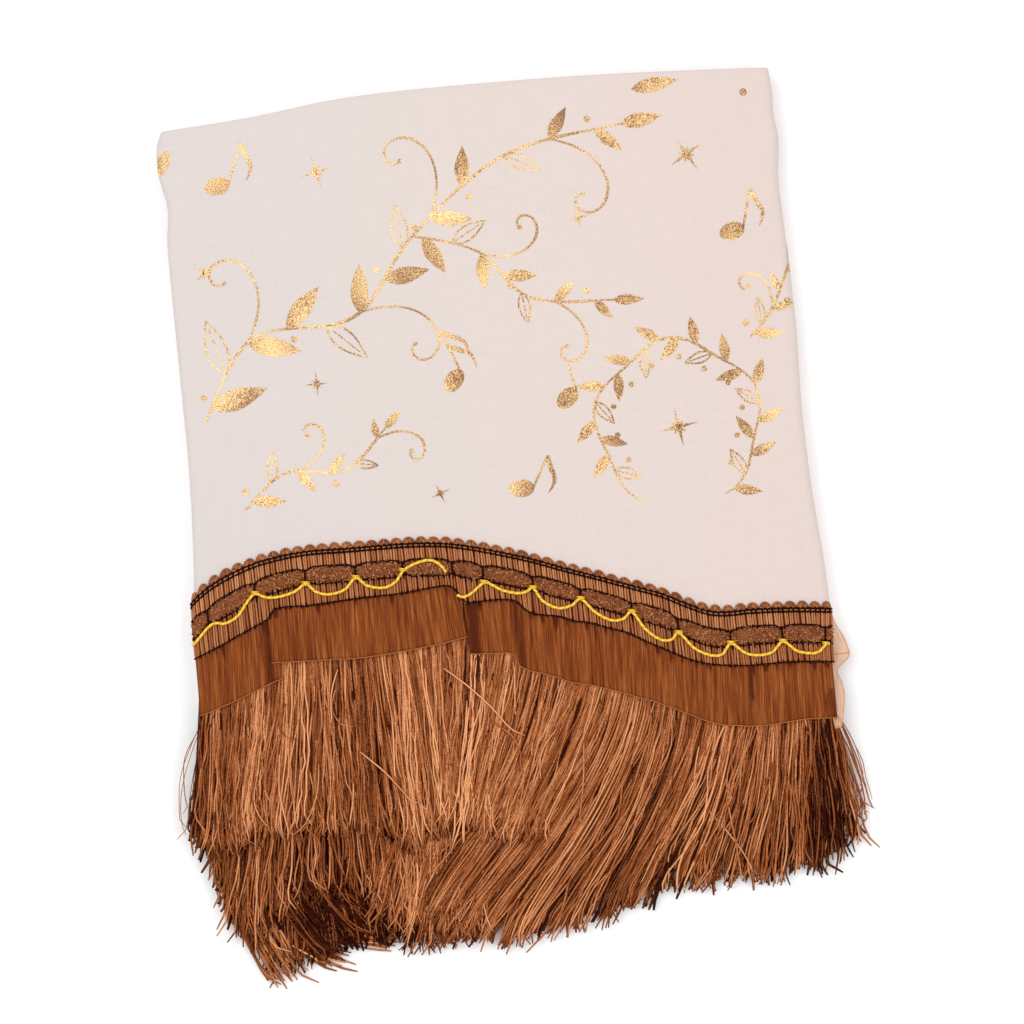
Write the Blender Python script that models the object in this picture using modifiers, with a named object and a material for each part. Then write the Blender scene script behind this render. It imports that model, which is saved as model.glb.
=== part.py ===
"""Folded piano top cover, lying flat: cloth, braid, cord, sheer flounce and fringe.

Metres, +Z up. The lengthwise fold is at the back (+Y) and the fringe at the front.
The origin is on the floor, under the middle of the whole outline.
"""

import math
import random
from collections import namedtuple

import bmesh
import bpy
from mathutils import Vector

# Cloth, doubled along its back fold and laid back and forth in six passes
CLOTH_THICKNESS = 0.0010
LAYER_GAP = 0.0006
CLEARANCE = 0.0004
LAYER_OFFSET = (CLOTH_THICKNESS + LAYER_GAP) / 2
PASS_HALF = CLOTH_THICKNESS + LAYER_GAP / 2
PASS_PITCH = 2 * PASS_HALF + LAYER_GAP
INNER_END_INSET = 0.0040
UNDER_LAYER_SHORTER = 0.0030
EDGE_UNDER_BRAID = 0.0190
TRIM_MIDDLE_Y = -0.050
BEND_STEPS = 4
BACK_FOLD_STEPS = 3
LAYER_STEPS = 6

# Soft swell of the stack: a share of the height, so that every gap keeps its size
SWELL = 0.035
SWELL_ACROSS = 0.24
SWELL_ALONG = 0.30
SWELL_PHASE = 0.8

# Braid
BRAID_THICKNESS = 0.0015
PICOT_PITCH = 0.0067
PICOT_SHARE = 0.64
PICOT_HEIGHT = 0.0030
PICOT_TIP_SHARE = 0.52
PICOTS_PER_PAD = 4
PAD_RISE = 0.0006
PAD_PLACE = 0.55
BRAID_START = -0.1697
BRAID_PICOTS = 52
WRAP_PICOTS = 3
WRAP_EASE = 0.0004

# Wavy cord on the braid
CORD_RADIUS = 0.0009
CORD_PEAK_PLACE = 0.60
CORD_SAG = 0.17
CORD_POINTS_PER_WAVE = 6
CORD_LIFT = 0.0004

# Sheer flounce
FLOUNCE_THICKNESS = 0.0010
FLOUNCE_GAP = 0.0010
FLOUNCE_COLUMNS = 56
FLOUNCE_RIPPLE = 0.0003
FLOUNCE_BELLY = 0.35
TUCK_RISE = 0.0011
TUCK_LEFT = -0.1245
TUCK_RIGHT = -0.0200
TUCK_WIDTH = 0.0030

# Fringe rows
FRINGE_THICKNESS = 0.0011
STRIP_DEPTH = 0.0030
STRIP_GAP = 0.0008
LOCK_SHARE = 0.70
LOCK_TIP_SHARE = 0.45
LOCK_BOW = 0.45
SIDE_PLAY = 0.0004
TIP_PLAY = 0.0035
SEED = 11

# Outline of the top pass, its corners rounded by the folds themselves
Side = namedtuple("Side", "y left right")
SIDES = (
    Side(y=0.229, left=-0.1575, right=0.1760),
    Side(y=0.215, left=-0.1592, right=0.1765),
    Side(y=0.187, left=-0.1573, right=0.1758),
    Side(y=0.150, left=-0.1586, right=0.1752),
    Side(y=0.090, left=-0.1596, right=0.1756),
    Side(y=0.045, left=-0.1602, right=0.1738),
    Side(y=0.000, left=-0.1628, right=0.1744),
    Side(y=-0.045, left=-0.1668, right=0.1770),
    Side(y=-0.100, left=-0.1690, right=0.1775),
)
Back = namedtuple("Back", "x y")
BACK_EDGE = (
    Back(x=-0.157, y=0.2290),
    Back(x=-0.110, y=0.2315),
    Back(x=-0.055, y=0.2365),
    Back(x=0.015, y=0.2365),
    Back(x=0.090, y=0.2340),
    Back(x=0.176, y=0.2285),
)

# Trim of the top pass: tips of the picots, foot of the braid and hem of the flounce
Trim = namedtuple("Trim", "x picot foot hem")
TRIM = (
    Trim(x=-0.1700, picot=-0.0240, foot=-0.0570, hem=-0.0873),
    Trim(x=-0.1510, picot=-0.0125, foot=-0.0500, hem=-0.0830),
    Trim(x=-0.1270, picot=-0.0045, foot=-0.0400, hem=-0.0785),
    Trim(x=-0.1220, picot=-0.0036, foot=-0.0345, hem=-0.0640),
    Trim(x=-0.1000, picot=-0.0020, foot=-0.0352, hem=-0.0649),
    Trim(x=-0.0610, picot=-0.0034, foot=-0.0342, hem=-0.0645),
    Trim(x=-0.0230, picot=-0.0070, foot=-0.0322, hem=-0.0605),
    Trim(x=-0.0170, picot=-0.0085, foot=-0.0422, hem=-0.0692),
    Trim(x=0.0070, picot=-0.0156, foot=-0.0455, hem=-0.0790),
    Trim(x=0.0200, picot=-0.0208, foot=-0.0525, hem=-0.0842),
    Trim(x=0.0450, picot=-0.0302, foot=-0.0598, hem=-0.0945),
    Trim(x=0.0730, picot=-0.0402, foot=-0.0715, hem=-0.1035),
    Trim(x=0.1070, picot=-0.0543, foot=-0.0868, hem=-0.1218),
    Trim(x=0.1300, picot=-0.0596, foot=-0.0932, hem=-0.1256),
    Trim(x=0.1600, picot=-0.0606, foot=-0.0935, hem=-0.1250),
    Trim(x=0.1820, picot=-0.0634, foot=-0.0958, hem=-0.1260),
)

# Passes of the cloth in the order in which it runs, with the y of each one's front edge
# at the left fold, a fifth across, half across and at the right fold. The braid's own
# line gives the top pass's edge.
EDGE_PLACES = (0.0, 0.2, 0.5, 1.0)
Knot = namedtuple("Knot", "across y")
Pass = namedtuple("Pass", "level heading steps left inner middle right")
TOP_PASS = Pass(level=6, heading=1, steps=16, left=None, inner=None, middle=None, right=None)
SECOND_PASS = Pass(level=5, heading=-1, steps=9, left=-0.044, inner=-0.102, middle=-0.092, right=-0.080)
THIRD_PASS = Pass(level=4, heading=-1, steps=6, left=-0.094, inner=-0.116, middle=-0.104, right=-0.083)
FOURTH_PASS = Pass(level=3, heading=1, steps=4, left=-0.094, inner=-0.104, middle=-0.096, right=-0.084)
FLOOR_PASS = Pass(level=1, heading=-1, steps=5, left=-0.088, inner=-0.104, middle=-0.094, right=-0.084)
FIFTH_PASS = Pass(level=2, heading=1, steps=4, left=-0.088, inner=-0.096, middle=-0.092, right=-0.086)
PASSES = (SECOND_PASS, TOP_PASS, THIRD_PASS, FOURTH_PASS, FLOOR_PASS, FIFTH_PASS)

# Each fold between two passes, in the same order, and how unevenly it lies
Fold = namedtuple("Fold", "side inset sway phase")
FOLDS = (
    Fold(side=-1, inset=0.0, sway=0.0, phase=0.0),
    Fold(side=1, inset=0.0, sway=0.0, phase=0.0),
    Fold(side=-1, inset=0.0012, sway=0.0008, phase=0.6),
    Fold(side=1, inset=0.0016, sway=0.0010, phase=2.1),
    Fold(side=-1, inset=0.0020, sway=0.0010, phase=4.0),
)
SWAY_LENGTH = 0.11

# Fringe rows: where each lock starts, and where its tip lies after its drop
Lock = namedtuple("Lock", "root tip_x tip_y drop")
Row = namedtuple("Row", "name level locks steps power turns")
TOP_ROW = Row(
    name="fringe_top",
    level=6,
    locks=92,
    steps=3,
    power=3.2,
    turns=(
        Lock(root=-0.162, tip_x=-0.1870, tip_y=-0.152, drop=0.0020),
        Lock(root=-0.150, tip_x=-0.1590, tip_y=-0.158, drop=0.0020),
        Lock(root=-0.122, tip_x=-0.1260, tip_y=-0.148, drop=0.0015),
        Lock(root=-0.080, tip_x=-0.0880, tip_y=-0.152, drop=0.0015),
        Lock(root=-0.045, tip_x=-0.0520, tip_y=-0.160, drop=0.0022),
        Lock(root=-0.020, tip_x=-0.0270, tip_y=-0.200, drop=0.0045),
        Lock(root=0.010, tip_x=0.0000, tip_y=-0.227, drop=0.0095),
        Lock(root=0.040, tip_x=0.0290, tip_y=-0.220, drop=0.0110),
        Lock(root=0.080, tip_x=0.0700, tip_y=-0.213, drop=0.0110),
        Lock(root=0.120, tip_x=0.1150, tip_y=-0.210, drop=0.0110),
        Lock(root=0.155, tip_x=0.1560, tip_y=-0.206, drop=0.0110),
        Lock(root=0.172, tip_x=0.1800, tip_y=-0.190, drop=0.0110),
    ),
)
SECOND_ROW = Row(
    name="fringe_second",
    level=5,
    locks=40,
    steps=2,
    power=1.6,
    turns=(
        Lock(root=-0.160, tip_x=-0.1755, tip_y=-0.164, drop=0.0030),
        Lock(root=-0.148, tip_x=-0.1670, tip_y=-0.190, drop=0.0040),
        Lock(root=-0.125, tip_x=-0.1500, tip_y=-0.222, drop=0.0050),
        Lock(root=-0.100, tip_x=-0.1180, tip_y=-0.223, drop=0.0050),
        Lock(root=-0.060, tip_x=-0.0600, tip_y=-0.224, drop=0.0050),
        Lock(root=-0.012, tip_x=-0.0220, tip_y=-0.216, drop=0.0055),
    ),
)
THIRD_ROW = Row(
    name="fringe_third",
    level=4,
    locks=36,
    steps=2,
    power=1.6,
    turns=(
        Lock(root=-0.156, tip_x=-0.1690, tip_y=-0.184, drop=0.0040),
        Lock(root=-0.140, tip_x=-0.1520, tip_y=-0.222, drop=0.0060),
        Lock(root=-0.122, tip_x=-0.1350, tip_y=-0.238, drop=0.0065),
        Lock(root=-0.090, tip_x=-0.1000, tip_y=-0.220, drop=0.0060),
        Lock(root=-0.015, tip_x=-0.0200, tip_y=-0.214, drop=0.0060),
    ),
)
FLOOR_ROW = Row(
    name="fringe_bottom",
    level=1,
    locks=62,
    steps=2,
    power=1.0,
    turns=(
        Lock(root=-0.158, tip_x=-0.1640, tip_y=-0.188, drop=0.0),
        Lock(root=-0.100, tip_x=-0.1040, tip_y=-0.208, drop=0.0),
        Lock(root=0.020, tip_x=0.0180, tip_y=-0.200, drop=0.0),
        Lock(root=0.168, tip_x=0.1700, tip_y=-0.192, drop=0.0),
    ),
)

# End of the flounce that turns round the right fold, as distances from that fold's outside
Tail = namedtuple("Tail", "y inner outer height")
TAIL = (
    Tail(y=-0.067, inner=0.0003, outer=0.0018, height=0.0138),
    Tail(y=-0.075, inner=0.0003, outer=0.0040, height=0.0130),
    Tail(y=-0.085, inner=0.0003, outer=0.0064, height=0.0120),
    Tail(y=-0.094, inner=-0.0010, outer=0.0052, height=0.0116),
    Tail(y=-0.099, inner=-0.0055, outer=0.0009, height=0.0116),
    Tail(y=-0.112, inner=-0.0085, outer=0.0006, height=0.0114),
    Tail(y=-0.126, inner=-0.0105, outer=-0.0010, height=0.0110),
)
TAIL_COLUMNS = 3
TAIL_DROOP = 0.0016

# Colours as linear red, green and blue
Finish = namedtuple("Finish", "colour roughness metallic")
CLOTH_FINISH = Finish(colour=(0.807, 0.699, 0.642), roughness=0.75, metallic=0.0)
BRAID_FINISH = Finish(colour=(0.283, 0.095, 0.034), roughness=0.55, metallic=0.0)
CORD_FINISH = Finish(colour=(0.791, 0.456, 0.021), roughness=0.32, metallic=0.8)
FLOUNCE_FINISH = Finish(colour=(0.250, 0.060, 0.015), roughness=0.40, metallic=0.0)
TAIL_FINISH = Finish(colour=(0.896, 0.645, 0.462), roughness=0.40, metallic=0.0)
FRINGE_FINISH = Finish(colour=(0.342, 0.109, 0.041), roughness=0.50, metallic=0.0)


def blend(start, end, share):
    """Go from start to end by a share."""
    return start + (end - start) * share


def read_smooth(rows, place, column, where):
    """Read a table's column at a place, on a smooth curve through its rows."""
    places = [getattr(row, place) for row in rows]
    values = [getattr(row, column) for row in rows]
    if places[0] > places[-1]:
        places.reverse()
        values.reverse()
    where = min(max(where, places[0]), places[-1])
    index = 0
    while index < len(places) - 2 and where > places[index + 1]:
        index += 1
    slopes = []
    for knot in (index, index + 1):
        before = max(knot - 1, 0)
        after = min(knot + 1, len(places) - 1)
        slopes.append((values[after] - values[before]) / (places[after] - places[before]))
    length = places[index + 1] - places[index]
    share = (where - places[index]) / length
    rise = share * share * (3 - 2 * share)
    leave = share * (1 - share) * (1 - share) * slopes[0] * length
    arrive = share * share * (share - 1) * slopes[1] * length
    return blend(values[index], values[index + 1], rise) + leave + arrive


def swell(point):
    """Lift a point with the soft swell of the stack, leaving the floor flat."""
    across = math.cos(2 * math.pi * point.x / SWELL_ACROSS + SWELL_PHASE)
    along = math.cos(2 * math.pi * point.y / SWELL_ALONG)
    lift = max(point.z - CLOTH_THICKNESS / 2, 0.0) * SWELL * across * along
    return Vector((point.x, point.y, point.z + lift))


def level_height(level):
    """Give the height of a pass's middle, counted from 1 at the floor."""
    return PASS_HALF + (level - 1) * PASS_PITCH


def fold_radius(first, second):
    """Give the radius of the fold that joins two levels."""
    return abs(level_height(first) - level_height(second)) / 2


def fold_centre(index, y):
    """Give the x of a fold's centre line at a distance along it."""
    fold = FOLDS[index]
    radius = fold_radius(PASSES[index].level, PASSES[index + 1].level)
    column = "left" if fold.side < 0 else "right"
    outer = read_smooth(SIDES, "y", column, y)
    sway = fold.sway * math.sin(2 * math.pi * y / SWAY_LENGTH + fold.phase)
    return outer - fold.side * (fold.inset + sway + radius + PASS_HALF)


def pass_ends(index, y):
    """Give the left and right ends of a pass at a distance along the folds."""
    ends = {}
    for fold_index in (index - 1, index):
        if 0 <= fold_index < len(FOLDS):
            ends[FOLDS[fold_index].side] = fold_centre(fold_index, y)
    if 1 not in ends:
        neighbour = 1 if index == 0 else index - 2
        ends[1] = fold_centre(neighbour, y) - INNER_END_INSET
    return ends[-1], ends[1]


def braid_line(x, place):
    """Give the y of a line that runs along the braid, from its picots (0) to its foot (1)."""
    return blend(read_smooth(TRIM, "x", "picot", x), read_smooth(TRIM, "x", "foot", x), place)


def edge_under_braid(x):
    """Give the y of the top pass's front edge, which the braid covers."""
    return read_smooth(TRIM, "x", "picot", x) - EDGE_UNDER_BRAID


def front_edge(row, across):
    """Give the y of a pass's front edge at a share of its width."""
    if row is TOP_PASS:
        left, right = pass_ends(PASSES.index(row), TRIM_MIDDLE_Y)
        return edge_under_braid(blend(left, right, across))
    edges = (row.left, row.inner, row.middle, row.right)
    knots = [Knot(across=place, y=y) for place, y in zip(EDGE_PLACES, edges)]
    return read_smooth(knots, "across", "y", across)


def layer_rows():
    """List places round the back fold as layer side, share from the front, and reach."""
    rows = [(1.0, step / LAYER_STEPS, 0.0) for step in range(LAYER_STEPS)]
    for step in range(BACK_FOLD_STEPS + 1):
        angle = math.pi * step / BACK_FOLD_STEPS
        rows.append((math.cos(angle), 1.0, math.sin(angle)))
    rows += [(-1.0, 1.0 - step / LAYER_STEPS, 0.0) for step in range(1, LAYER_STEPS + 1)]
    return rows


def cloth_y(front, across, layer_row):
    """Give the y of one place round the back fold."""
    side, share, reach = layer_row
    x = blend(BACK_EDGE[0].x, BACK_EDGE[-1].x, across)
    back = read_smooth(BACK_EDGE, "x", "y", x) - CLOTH_THICKNESS / 2 - LAYER_OFFSET
    if side < 0:
        front += UNDER_LAYER_SHORTER
    return blend(front, back, share) + reach * LAYER_OFFSET


def pass_columns(index):
    """Make the columns of one pass, each a list of points round the back fold."""
    row = PASSES[index]
    columns = []
    for step in range(row.steps + 1):
        share = step / row.steps
        across = share if row.heading > 0 else 1 - share
        front = front_edge(row, across)
        column = []
        for layer_row in layer_rows():
            y = cloth_y(front, across, layer_row)
            left, right = pass_ends(index, y)
            height = level_height(row.level) + row.heading * layer_row[0] * LAYER_OFFSET
            column.append(Vector((blend(left, right, across), y, height)))
        columns.append(column)
    return columns


def fold_columns(index):
    """Make the columns between two passes, round the fold that joins them."""
    first = PASSES[index]
    second = PASSES[index + 1]
    side = FOLDS[index].side
    across = 0.0 if side < 0 else 1.0
    starts_high = 1 if first.level > second.level else -1
    outward = first.heading * starts_high
    radius = fold_radius(first.level, second.level)
    middle = (level_height(first.level) + level_height(second.level)) / 2
    columns = []
    for step in range(1, BEND_STEPS):
        share = step / BEND_STEPS
        angle = math.pi * share
        front = blend(front_edge(first, across), front_edge(second, across), share)
        column = []
        for layer_row in layer_rows():
            y = cloth_y(front, across, layer_row)
            reach = radius + outward * layer_row[0] * LAYER_OFFSET
            x = fold_centre(index, y) + side * reach * math.sin(angle)
            column.append(Vector((x, y, middle + starts_high * reach * math.cos(angle))))
        columns.append(column)
    return columns


def edge_points(row):
    """List the corners of a pass's front edge as x and y, from left to right."""
    corners = []
    for column in pass_columns(PASSES.index(row)):
        y = min(column[0].y, column[-1].y)
        corners.append((column[0].x, y))
    return sorted(corners)


def read_edge(corners, x):
    """Read the y of a front edge between two of its corners."""
    x = min(max(x, corners[0][0]), corners[-1][0])
    for (left, left_y), (right, right_y) in zip(corners, corners[1:]):
        if x <= right:
            return blend(left_y, right_y, (x - left) / (right - left))
    return corners[-1][1]


def surface_from_columns(columns):
    """Shape a flat grid of quads into columns of points, and return its bmesh."""
    mesh = bmesh.new()
    bmesh.ops.create_grid(mesh, x_segments=len(columns) - 1, y_segments=len(columns[0]) - 1, size=1.0)
    mesh.verts.ensure_lookup_table()
    for vert in mesh.verts:
        column = round((vert.co.x + 1) / 2 * (len(columns) - 1))
        row = round((vert.co.y + 1) / 2 * (len(columns[0]) - 1))
        vert.co = swell(columns[column][row])
    return mesh


def make_material(name, finish):
    """Make a material from a colour, a roughness and a metallic value."""
    material = bpy.data.materials.new(name)
    material.use_nodes = True
    shader = material.node_tree.nodes["Principled BSDF"]
    shader.inputs["Base Color"].default_value = (*finish.colour, 1.0)
    shader.inputs["Roughness"].default_value = finish.roughness
    shader.inputs["Metallic"].default_value = finish.metallic
    return material


def add_sheet(name, mesh, thickness, finish, collection):
    """Turn an open surface into a sheet of even thickness."""
    data = bpy.data.meshes.new(name)
    mesh.to_mesh(data)
    mesh.free()
    piece = bpy.data.objects.new(name, data)
    collection.objects.link(piece)
    data.materials.append(make_material(name, finish))
    wall = piece.modifiers.new("thickness", "SOLIDIFY")
    wall.thickness = thickness
    wall.offset = 0.0
    wall.use_even_offset = True
    wall.use_quality_normals = True
    return piece


def make_cloth(collection):
    """Make the cloth as one sheet through all its passes and folds."""
    columns = []
    for index in range(len(PASSES)):
        columns += pass_columns(index)
        if index < len(FOLDS):
            columns += fold_columns(index)
    return add_sheet("cloth", surface_from_columns(columns), CLOTH_THICKNESS, CLOTH_FINISH, collection)


def over_top_pass(along, y, height):
    """Give a point above the top pass, wrapped round its side folds past their centres."""
    top = level_height(TOP_PASS.level)
    for index in (0, 1):
        side = FOLDS[index].side
        centre = fold_centre(index, y)
        past = side * (along - centre)
        if past > 0:
            radius = fold_radius(PASSES[index].level, PASSES[index + 1].level)
            reach = radius + height
            angle = past / reach
            x = centre + side * (reach + WRAP_EASE) * math.sin(angle)
            return Vector((x, y, top - radius + reach * math.cos(angle)))
    return Vector((along, y, top + height))


def pad_rise(along):
    """Give the rise of the raised pads at a distance along the braid."""
    period = PICOT_PITCH * PICOTS_PER_PAD
    return PAD_RISE * abs(math.sin(math.pi * (along - BRAID_START) / period))


def braid_columns():
    """List the braid's columns as distance along it and picot, or no picot for a gap's end."""
    columns = []
    for picot in range(BRAID_PICOTS):
        begin = BRAID_START + picot * PICOT_PITCH
        columns.append((begin, picot))
        if picot < WRAP_PICOTS or picot >= BRAID_PICOTS - WRAP_PICOTS:
            columns.append((begin + PICOT_SHARE * PICOT_PITCH / 2, picot))
        columns.append((begin + PICOT_SHARE * PICOT_PITCH, None))
    columns.append((BRAID_START + BRAID_PICOTS * PICOT_PITCH, None))
    return columns


def make_braid(collection):
    """Make the braid with its row of picots, over the front of the top pass."""
    height = PASS_HALF + CLEARANCE + BRAID_THICKNESS / 2
    places = braid_columns()
    columns = []
    for along, _ in places:
        columns.append([
            over_top_pass(along, braid_line(along, 0.0) - PICOT_HEIGHT, height),
            over_top_pass(along, braid_line(along, PAD_PLACE), height + pad_rise(along)),
            over_top_pass(along, braid_line(along, 1.0), height),
        ])
    mesh = surface_from_columns(columns)
    tops = [min(mesh.verts, key=lambda vert: (vert.co - swell(column[0])).length) for column in columns]
    loops = {}
    for index, (_, picot) in enumerate(places):
        if picot is not None:
            loops.setdefault(picot, []).append(mesh.edges.get((tops[index], tops[index + 1])))
    for edges in loops.values():
        grown = bmesh.ops.extrude_edge_only(mesh, edges=edges)["geom"]
        tips = [item for item in grown if isinstance(item, bmesh.types.BMVert)]
        middle = sum((vert.co for vert in tips), Vector()) / len(tips)
        for vert in tips:
            vert.co = middle.lerp(vert.co, PICOT_TIP_SHARE) + Vector((0, PICOT_HEIGHT, 0))
    return add_sheet("braid", mesh, BRAID_THICKNESS, BRAID_FINISH, collection)


def make_cord(collection):
    """Make the wavy cord that is caught down to the braid once in each pad."""
    period = PICOT_PITCH * PICOTS_PER_PAD
    waves = BRAID_PICOTS // PICOTS_PER_PAD
    height = PASS_HALF + CLEARANCE + BRAID_THICKNESS + CLEARANCE + CORD_RADIUS + CORD_LIFT
    curve = bpy.data.curves.new("gold_cord", "CURVE")
    curve.dimensions = "3D"
    curve.bevel_depth = CORD_RADIUS
    curve.bevel_resolution = 1
    curve.use_fill_caps = True
    spline = curve.splines.new("POLY")
    count = waves * CORD_POINTS_PER_WAVE + 1
    spline.points.add(count - 1)
    for step in range(count):
        share = (step % CORD_POINTS_PER_WAVE) / CORD_POINTS_PER_WAVE
        along = BRAID_START + period * step / CORD_POINTS_PER_WAVE
        place = CORD_PEAK_PLACE + 4 * CORD_SAG * share * (1 - share)
        point = swell(over_top_pass(along, braid_line(along, place), height))
        spline.points[step].co = (*point, 1.0)
    piece = bpy.data.objects.new("gold_cord", curve)
    collection.objects.link(piece)
    curve.materials.append(make_material("gold_cord", CORD_FINISH))
    return piece


def tuck_rise(x):
    """Give the rise of the stretch of flounce between its two tucks."""
    up = min(max((x - TUCK_LEFT) / TUCK_WIDTH, 0.0), 1.0)
    down = min(max((TUCK_RIGHT - x) / TUCK_WIDTH, 0.0), 1.0)
    return TUCK_RISE * min(up, down)


def make_flounce(collection):
    """Make the sheer flounce that hangs from under the braid, rippled below it."""
    height = level_height(TOP_PASS.level) + LAYER_OFFSET
    corners = edge_points(TOP_PASS)
    start = fold_centre(0, braid_line(SIDES[-1].left, 1.0))
    end = fold_centre(1, braid_line(SIDES[-1].right, 1.0))
    columns = []
    for step in range(FLOUNCE_COLUMNS + 1):
        x = blend(start, end, step / FLOUNCE_COLUMNS)
        ripple = FLOUNCE_RIPPLE * (step % 2)
        head = read_edge(corners, x) - FLOUNCE_GAP
        foot = braid_line(x, 1.0) - 2 * CLEARANCE
        hem = read_smooth(TRIM, "x", "hem", x)
        flare = blend(SIDES[-1].left - start, SIDES[-1].right - end, step / FLOUNCE_COLUMNS)
        rise = ripple + tuck_rise(x)
        columns.append([
            Vector((x, head, height)),
            Vector((x, foot, height)),
            Vector((x + flare * FLOUNCE_BELLY, blend(foot, hem, FLOUNCE_BELLY), height + rise)),
            Vector((x + flare, hem, height + rise)),
        ])
    return add_sheet("flounce", surface_from_columns(columns), FLOUNCE_THICKNESS, FLOUNCE_FINISH, collection)


def make_tail(collection):
    """Make the end of the flounce that stands out past the right fold."""
    columns = []
    for step in range(TAIL_COLUMNS + 1):
        share = step / TAIL_COLUMNS
        column = []
        for row in TAIL:
            droop = TAIL_DROOP * share * share
            side = fold_centre(1, row.y) + fold_radius(TOP_PASS.level, THIRD_PASS.level) + PASS_HALF
            column.append(Vector((side + blend(row.inner, row.outer, share), row.y, row.height - droop)))
        columns.append(column)
    return add_sheet("flounce_tail", surface_from_columns(columns), FLOUNCE_THICKNESS, TAIL_FINISH, collection)


def fringe_start(row, corners, x):
    """Give the y and the height of the back of a fringe row's strip."""
    if row is TOP_ROW:
        height = level_height(row.level) + LAYER_GAP / 2 - CLEARANCE - FRINGE_THICKNESS / 2
        return braid_line(x, 1.0) + STRIP_DEPTH, height
    height = FRINGE_THICKNESS / 2 if row is FLOOR_ROW else level_height(row.level)
    return read_edge(corners, x) - STRIP_GAP, height


def make_fringe(row, rng, collection):
    """Make one row of fringe: a strip along the cloth's edge and its separate locks."""
    cloth_row = next(item for item in PASSES if item.level == row.level)
    corners = edge_points(cloth_row)
    first = row.turns[0].root
    last = row.turns[-1].root
    pitch = (last - first) / (row.locks - 1 + LOCK_SHARE)
    columns = []
    for step in range(2 * row.locks):
        x = first + (step // 2) * pitch + (step % 2) * LOCK_SHARE * pitch
        y, height = fringe_start(row, corners, x)
        columns.append([Vector((x, y, height)), Vector((x, y - STRIP_DEPTH, height))])
    mesh = surface_from_columns(columns)
    ends = [min(mesh.verts, key=lambda vert: (vert.co - swell(column[1])).length) for column in columns]
    edges = [mesh.edges.get((ends[2 * lock], ends[2 * lock + 1])) for lock in range(row.locks)]
    for lock, edge in enumerate(edges):
        root = first + lock * pitch + LOCK_SHARE * pitch / 2
        tip_x = read_smooth(row.turns, "root", "tip_x", root) + rng.uniform(-SIDE_PLAY, SIDE_PLAY)
        tip_y = read_smooth(row.turns, "root", "tip_y", root) + rng.uniform(0.0, TIP_PLAY)
        drop = read_smooth(row.turns, "root", "drop", root)
        start_y, height = fringe_start(row, corners, root)
        start_y -= STRIP_DEPTH
        for step in range(1, row.steps + 1):
            share = step / row.steps
            bow = share ** (1 + LOCK_BOW)
            half = LOCK_SHARE * pitch / 2 * blend(1.0, LOCK_TIP_SHARE, share)
            x = blend(root, tip_x, bow)
            y = blend(start_y, tip_y, share)
            z = height - drop * share ** row.power
            grown = bmesh.ops.extrude_edge_only(mesh, edges=[edge])["geom"]
            edge = next(item for item in grown if isinstance(item, bmesh.types.BMEdge)
                        and all(vert in grown for vert in item.verts))
            left, right = sorted(edge.verts, key=lambda vert: vert.co.x)
            left.co = swell(Vector((x - half, y, z)))
            right.co = swell(Vector((x + half, y, z)))
    return add_sheet(row.name, mesh, FRINGE_THICKNESS, FRINGE_FINISH, collection)


def main():
    """Build the folded cover from an empty scene."""
    for item in list(bpy.data.objects):
        bpy.data.objects.remove(item, do_unlink=True)
    collection = bpy.data.collections.new("piano_top_cover")
    bpy.context.scene.collection.children.link(collection)
    rng = random.Random(SEED)
    make_cloth(collection)
    make_braid(collection)
    make_cord(collection)
    make_flounce(collection)
    make_tail(collection)
    for row in (TOP_ROW, SECOND_ROW, THIRD_ROW, FLOOR_ROW):
        make_fringe(row, rng, collection)


main()
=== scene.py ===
"""Looks of the folded piano top cover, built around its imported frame.

Metres, +Z up, in the frame's own axes. Tables of outlines are in millimetres. The cover lies
flat: cream cloth with a gold foil print, a brown braid with a wavy gold cord, a sheer flounce
and rows of fringe.
"""

import logging
import math
import random
from collections.abc import Callable, Iterable, Sequence
from dataclasses import dataclass, field
from enum import Enum
from functools import cache

import bmesh
import bpy
import numpy as np
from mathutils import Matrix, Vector, noise


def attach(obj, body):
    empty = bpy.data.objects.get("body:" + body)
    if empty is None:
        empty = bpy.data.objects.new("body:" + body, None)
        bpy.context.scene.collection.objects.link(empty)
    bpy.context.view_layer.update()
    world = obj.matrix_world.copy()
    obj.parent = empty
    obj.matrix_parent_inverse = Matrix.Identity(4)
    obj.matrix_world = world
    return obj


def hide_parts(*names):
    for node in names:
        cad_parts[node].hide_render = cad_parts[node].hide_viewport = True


LOG = logging.getLogger("piano_top_cover")
BODY = "root"
MM = 0.001
TURN = 2 * math.pi
TOP_LEVEL = 6

Spot = tuple[float, float]
Socket = bpy.types.NodeSocket

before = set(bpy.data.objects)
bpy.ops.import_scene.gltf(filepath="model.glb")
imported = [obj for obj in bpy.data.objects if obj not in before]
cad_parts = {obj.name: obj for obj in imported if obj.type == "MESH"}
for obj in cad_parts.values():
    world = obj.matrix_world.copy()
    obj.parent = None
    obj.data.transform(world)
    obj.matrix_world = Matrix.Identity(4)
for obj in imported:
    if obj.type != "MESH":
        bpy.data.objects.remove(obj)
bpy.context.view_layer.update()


class Slot(Enum):
    """The record's material slots."""

    CLOTH = "cream_cloth"
    BRAID = "brown_braid"
    CORD = "gold_cord"
    ORGANZA = "brown_organza"
    TAIL = "pale_organza"
    FRINGE = "brown_fringe"


class Side(Enum):
    """The two side folds of a pass."""

    LEFT = -1
    RIGHT = 1


def srgb(red: float, green: float, blue: float) -> tuple[float, float, float, float]:
    """Turn a display colour into a linear one.

    Args:
        red: Red from 0 to 255.
        green: Green from 0 to 255.
        blue: Blue from 0 to 255.

    Returns:
        Linear red, green, blue and a full alpha.
    """
    linear = []
    for value in (red, green, blue):
        share = value / 255
        linear.append(share / 12.92 if share <= 0.04045 else ((share + 0.055) / 1.055) ** 2.4)
    return (*linear, 1.0)


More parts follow.
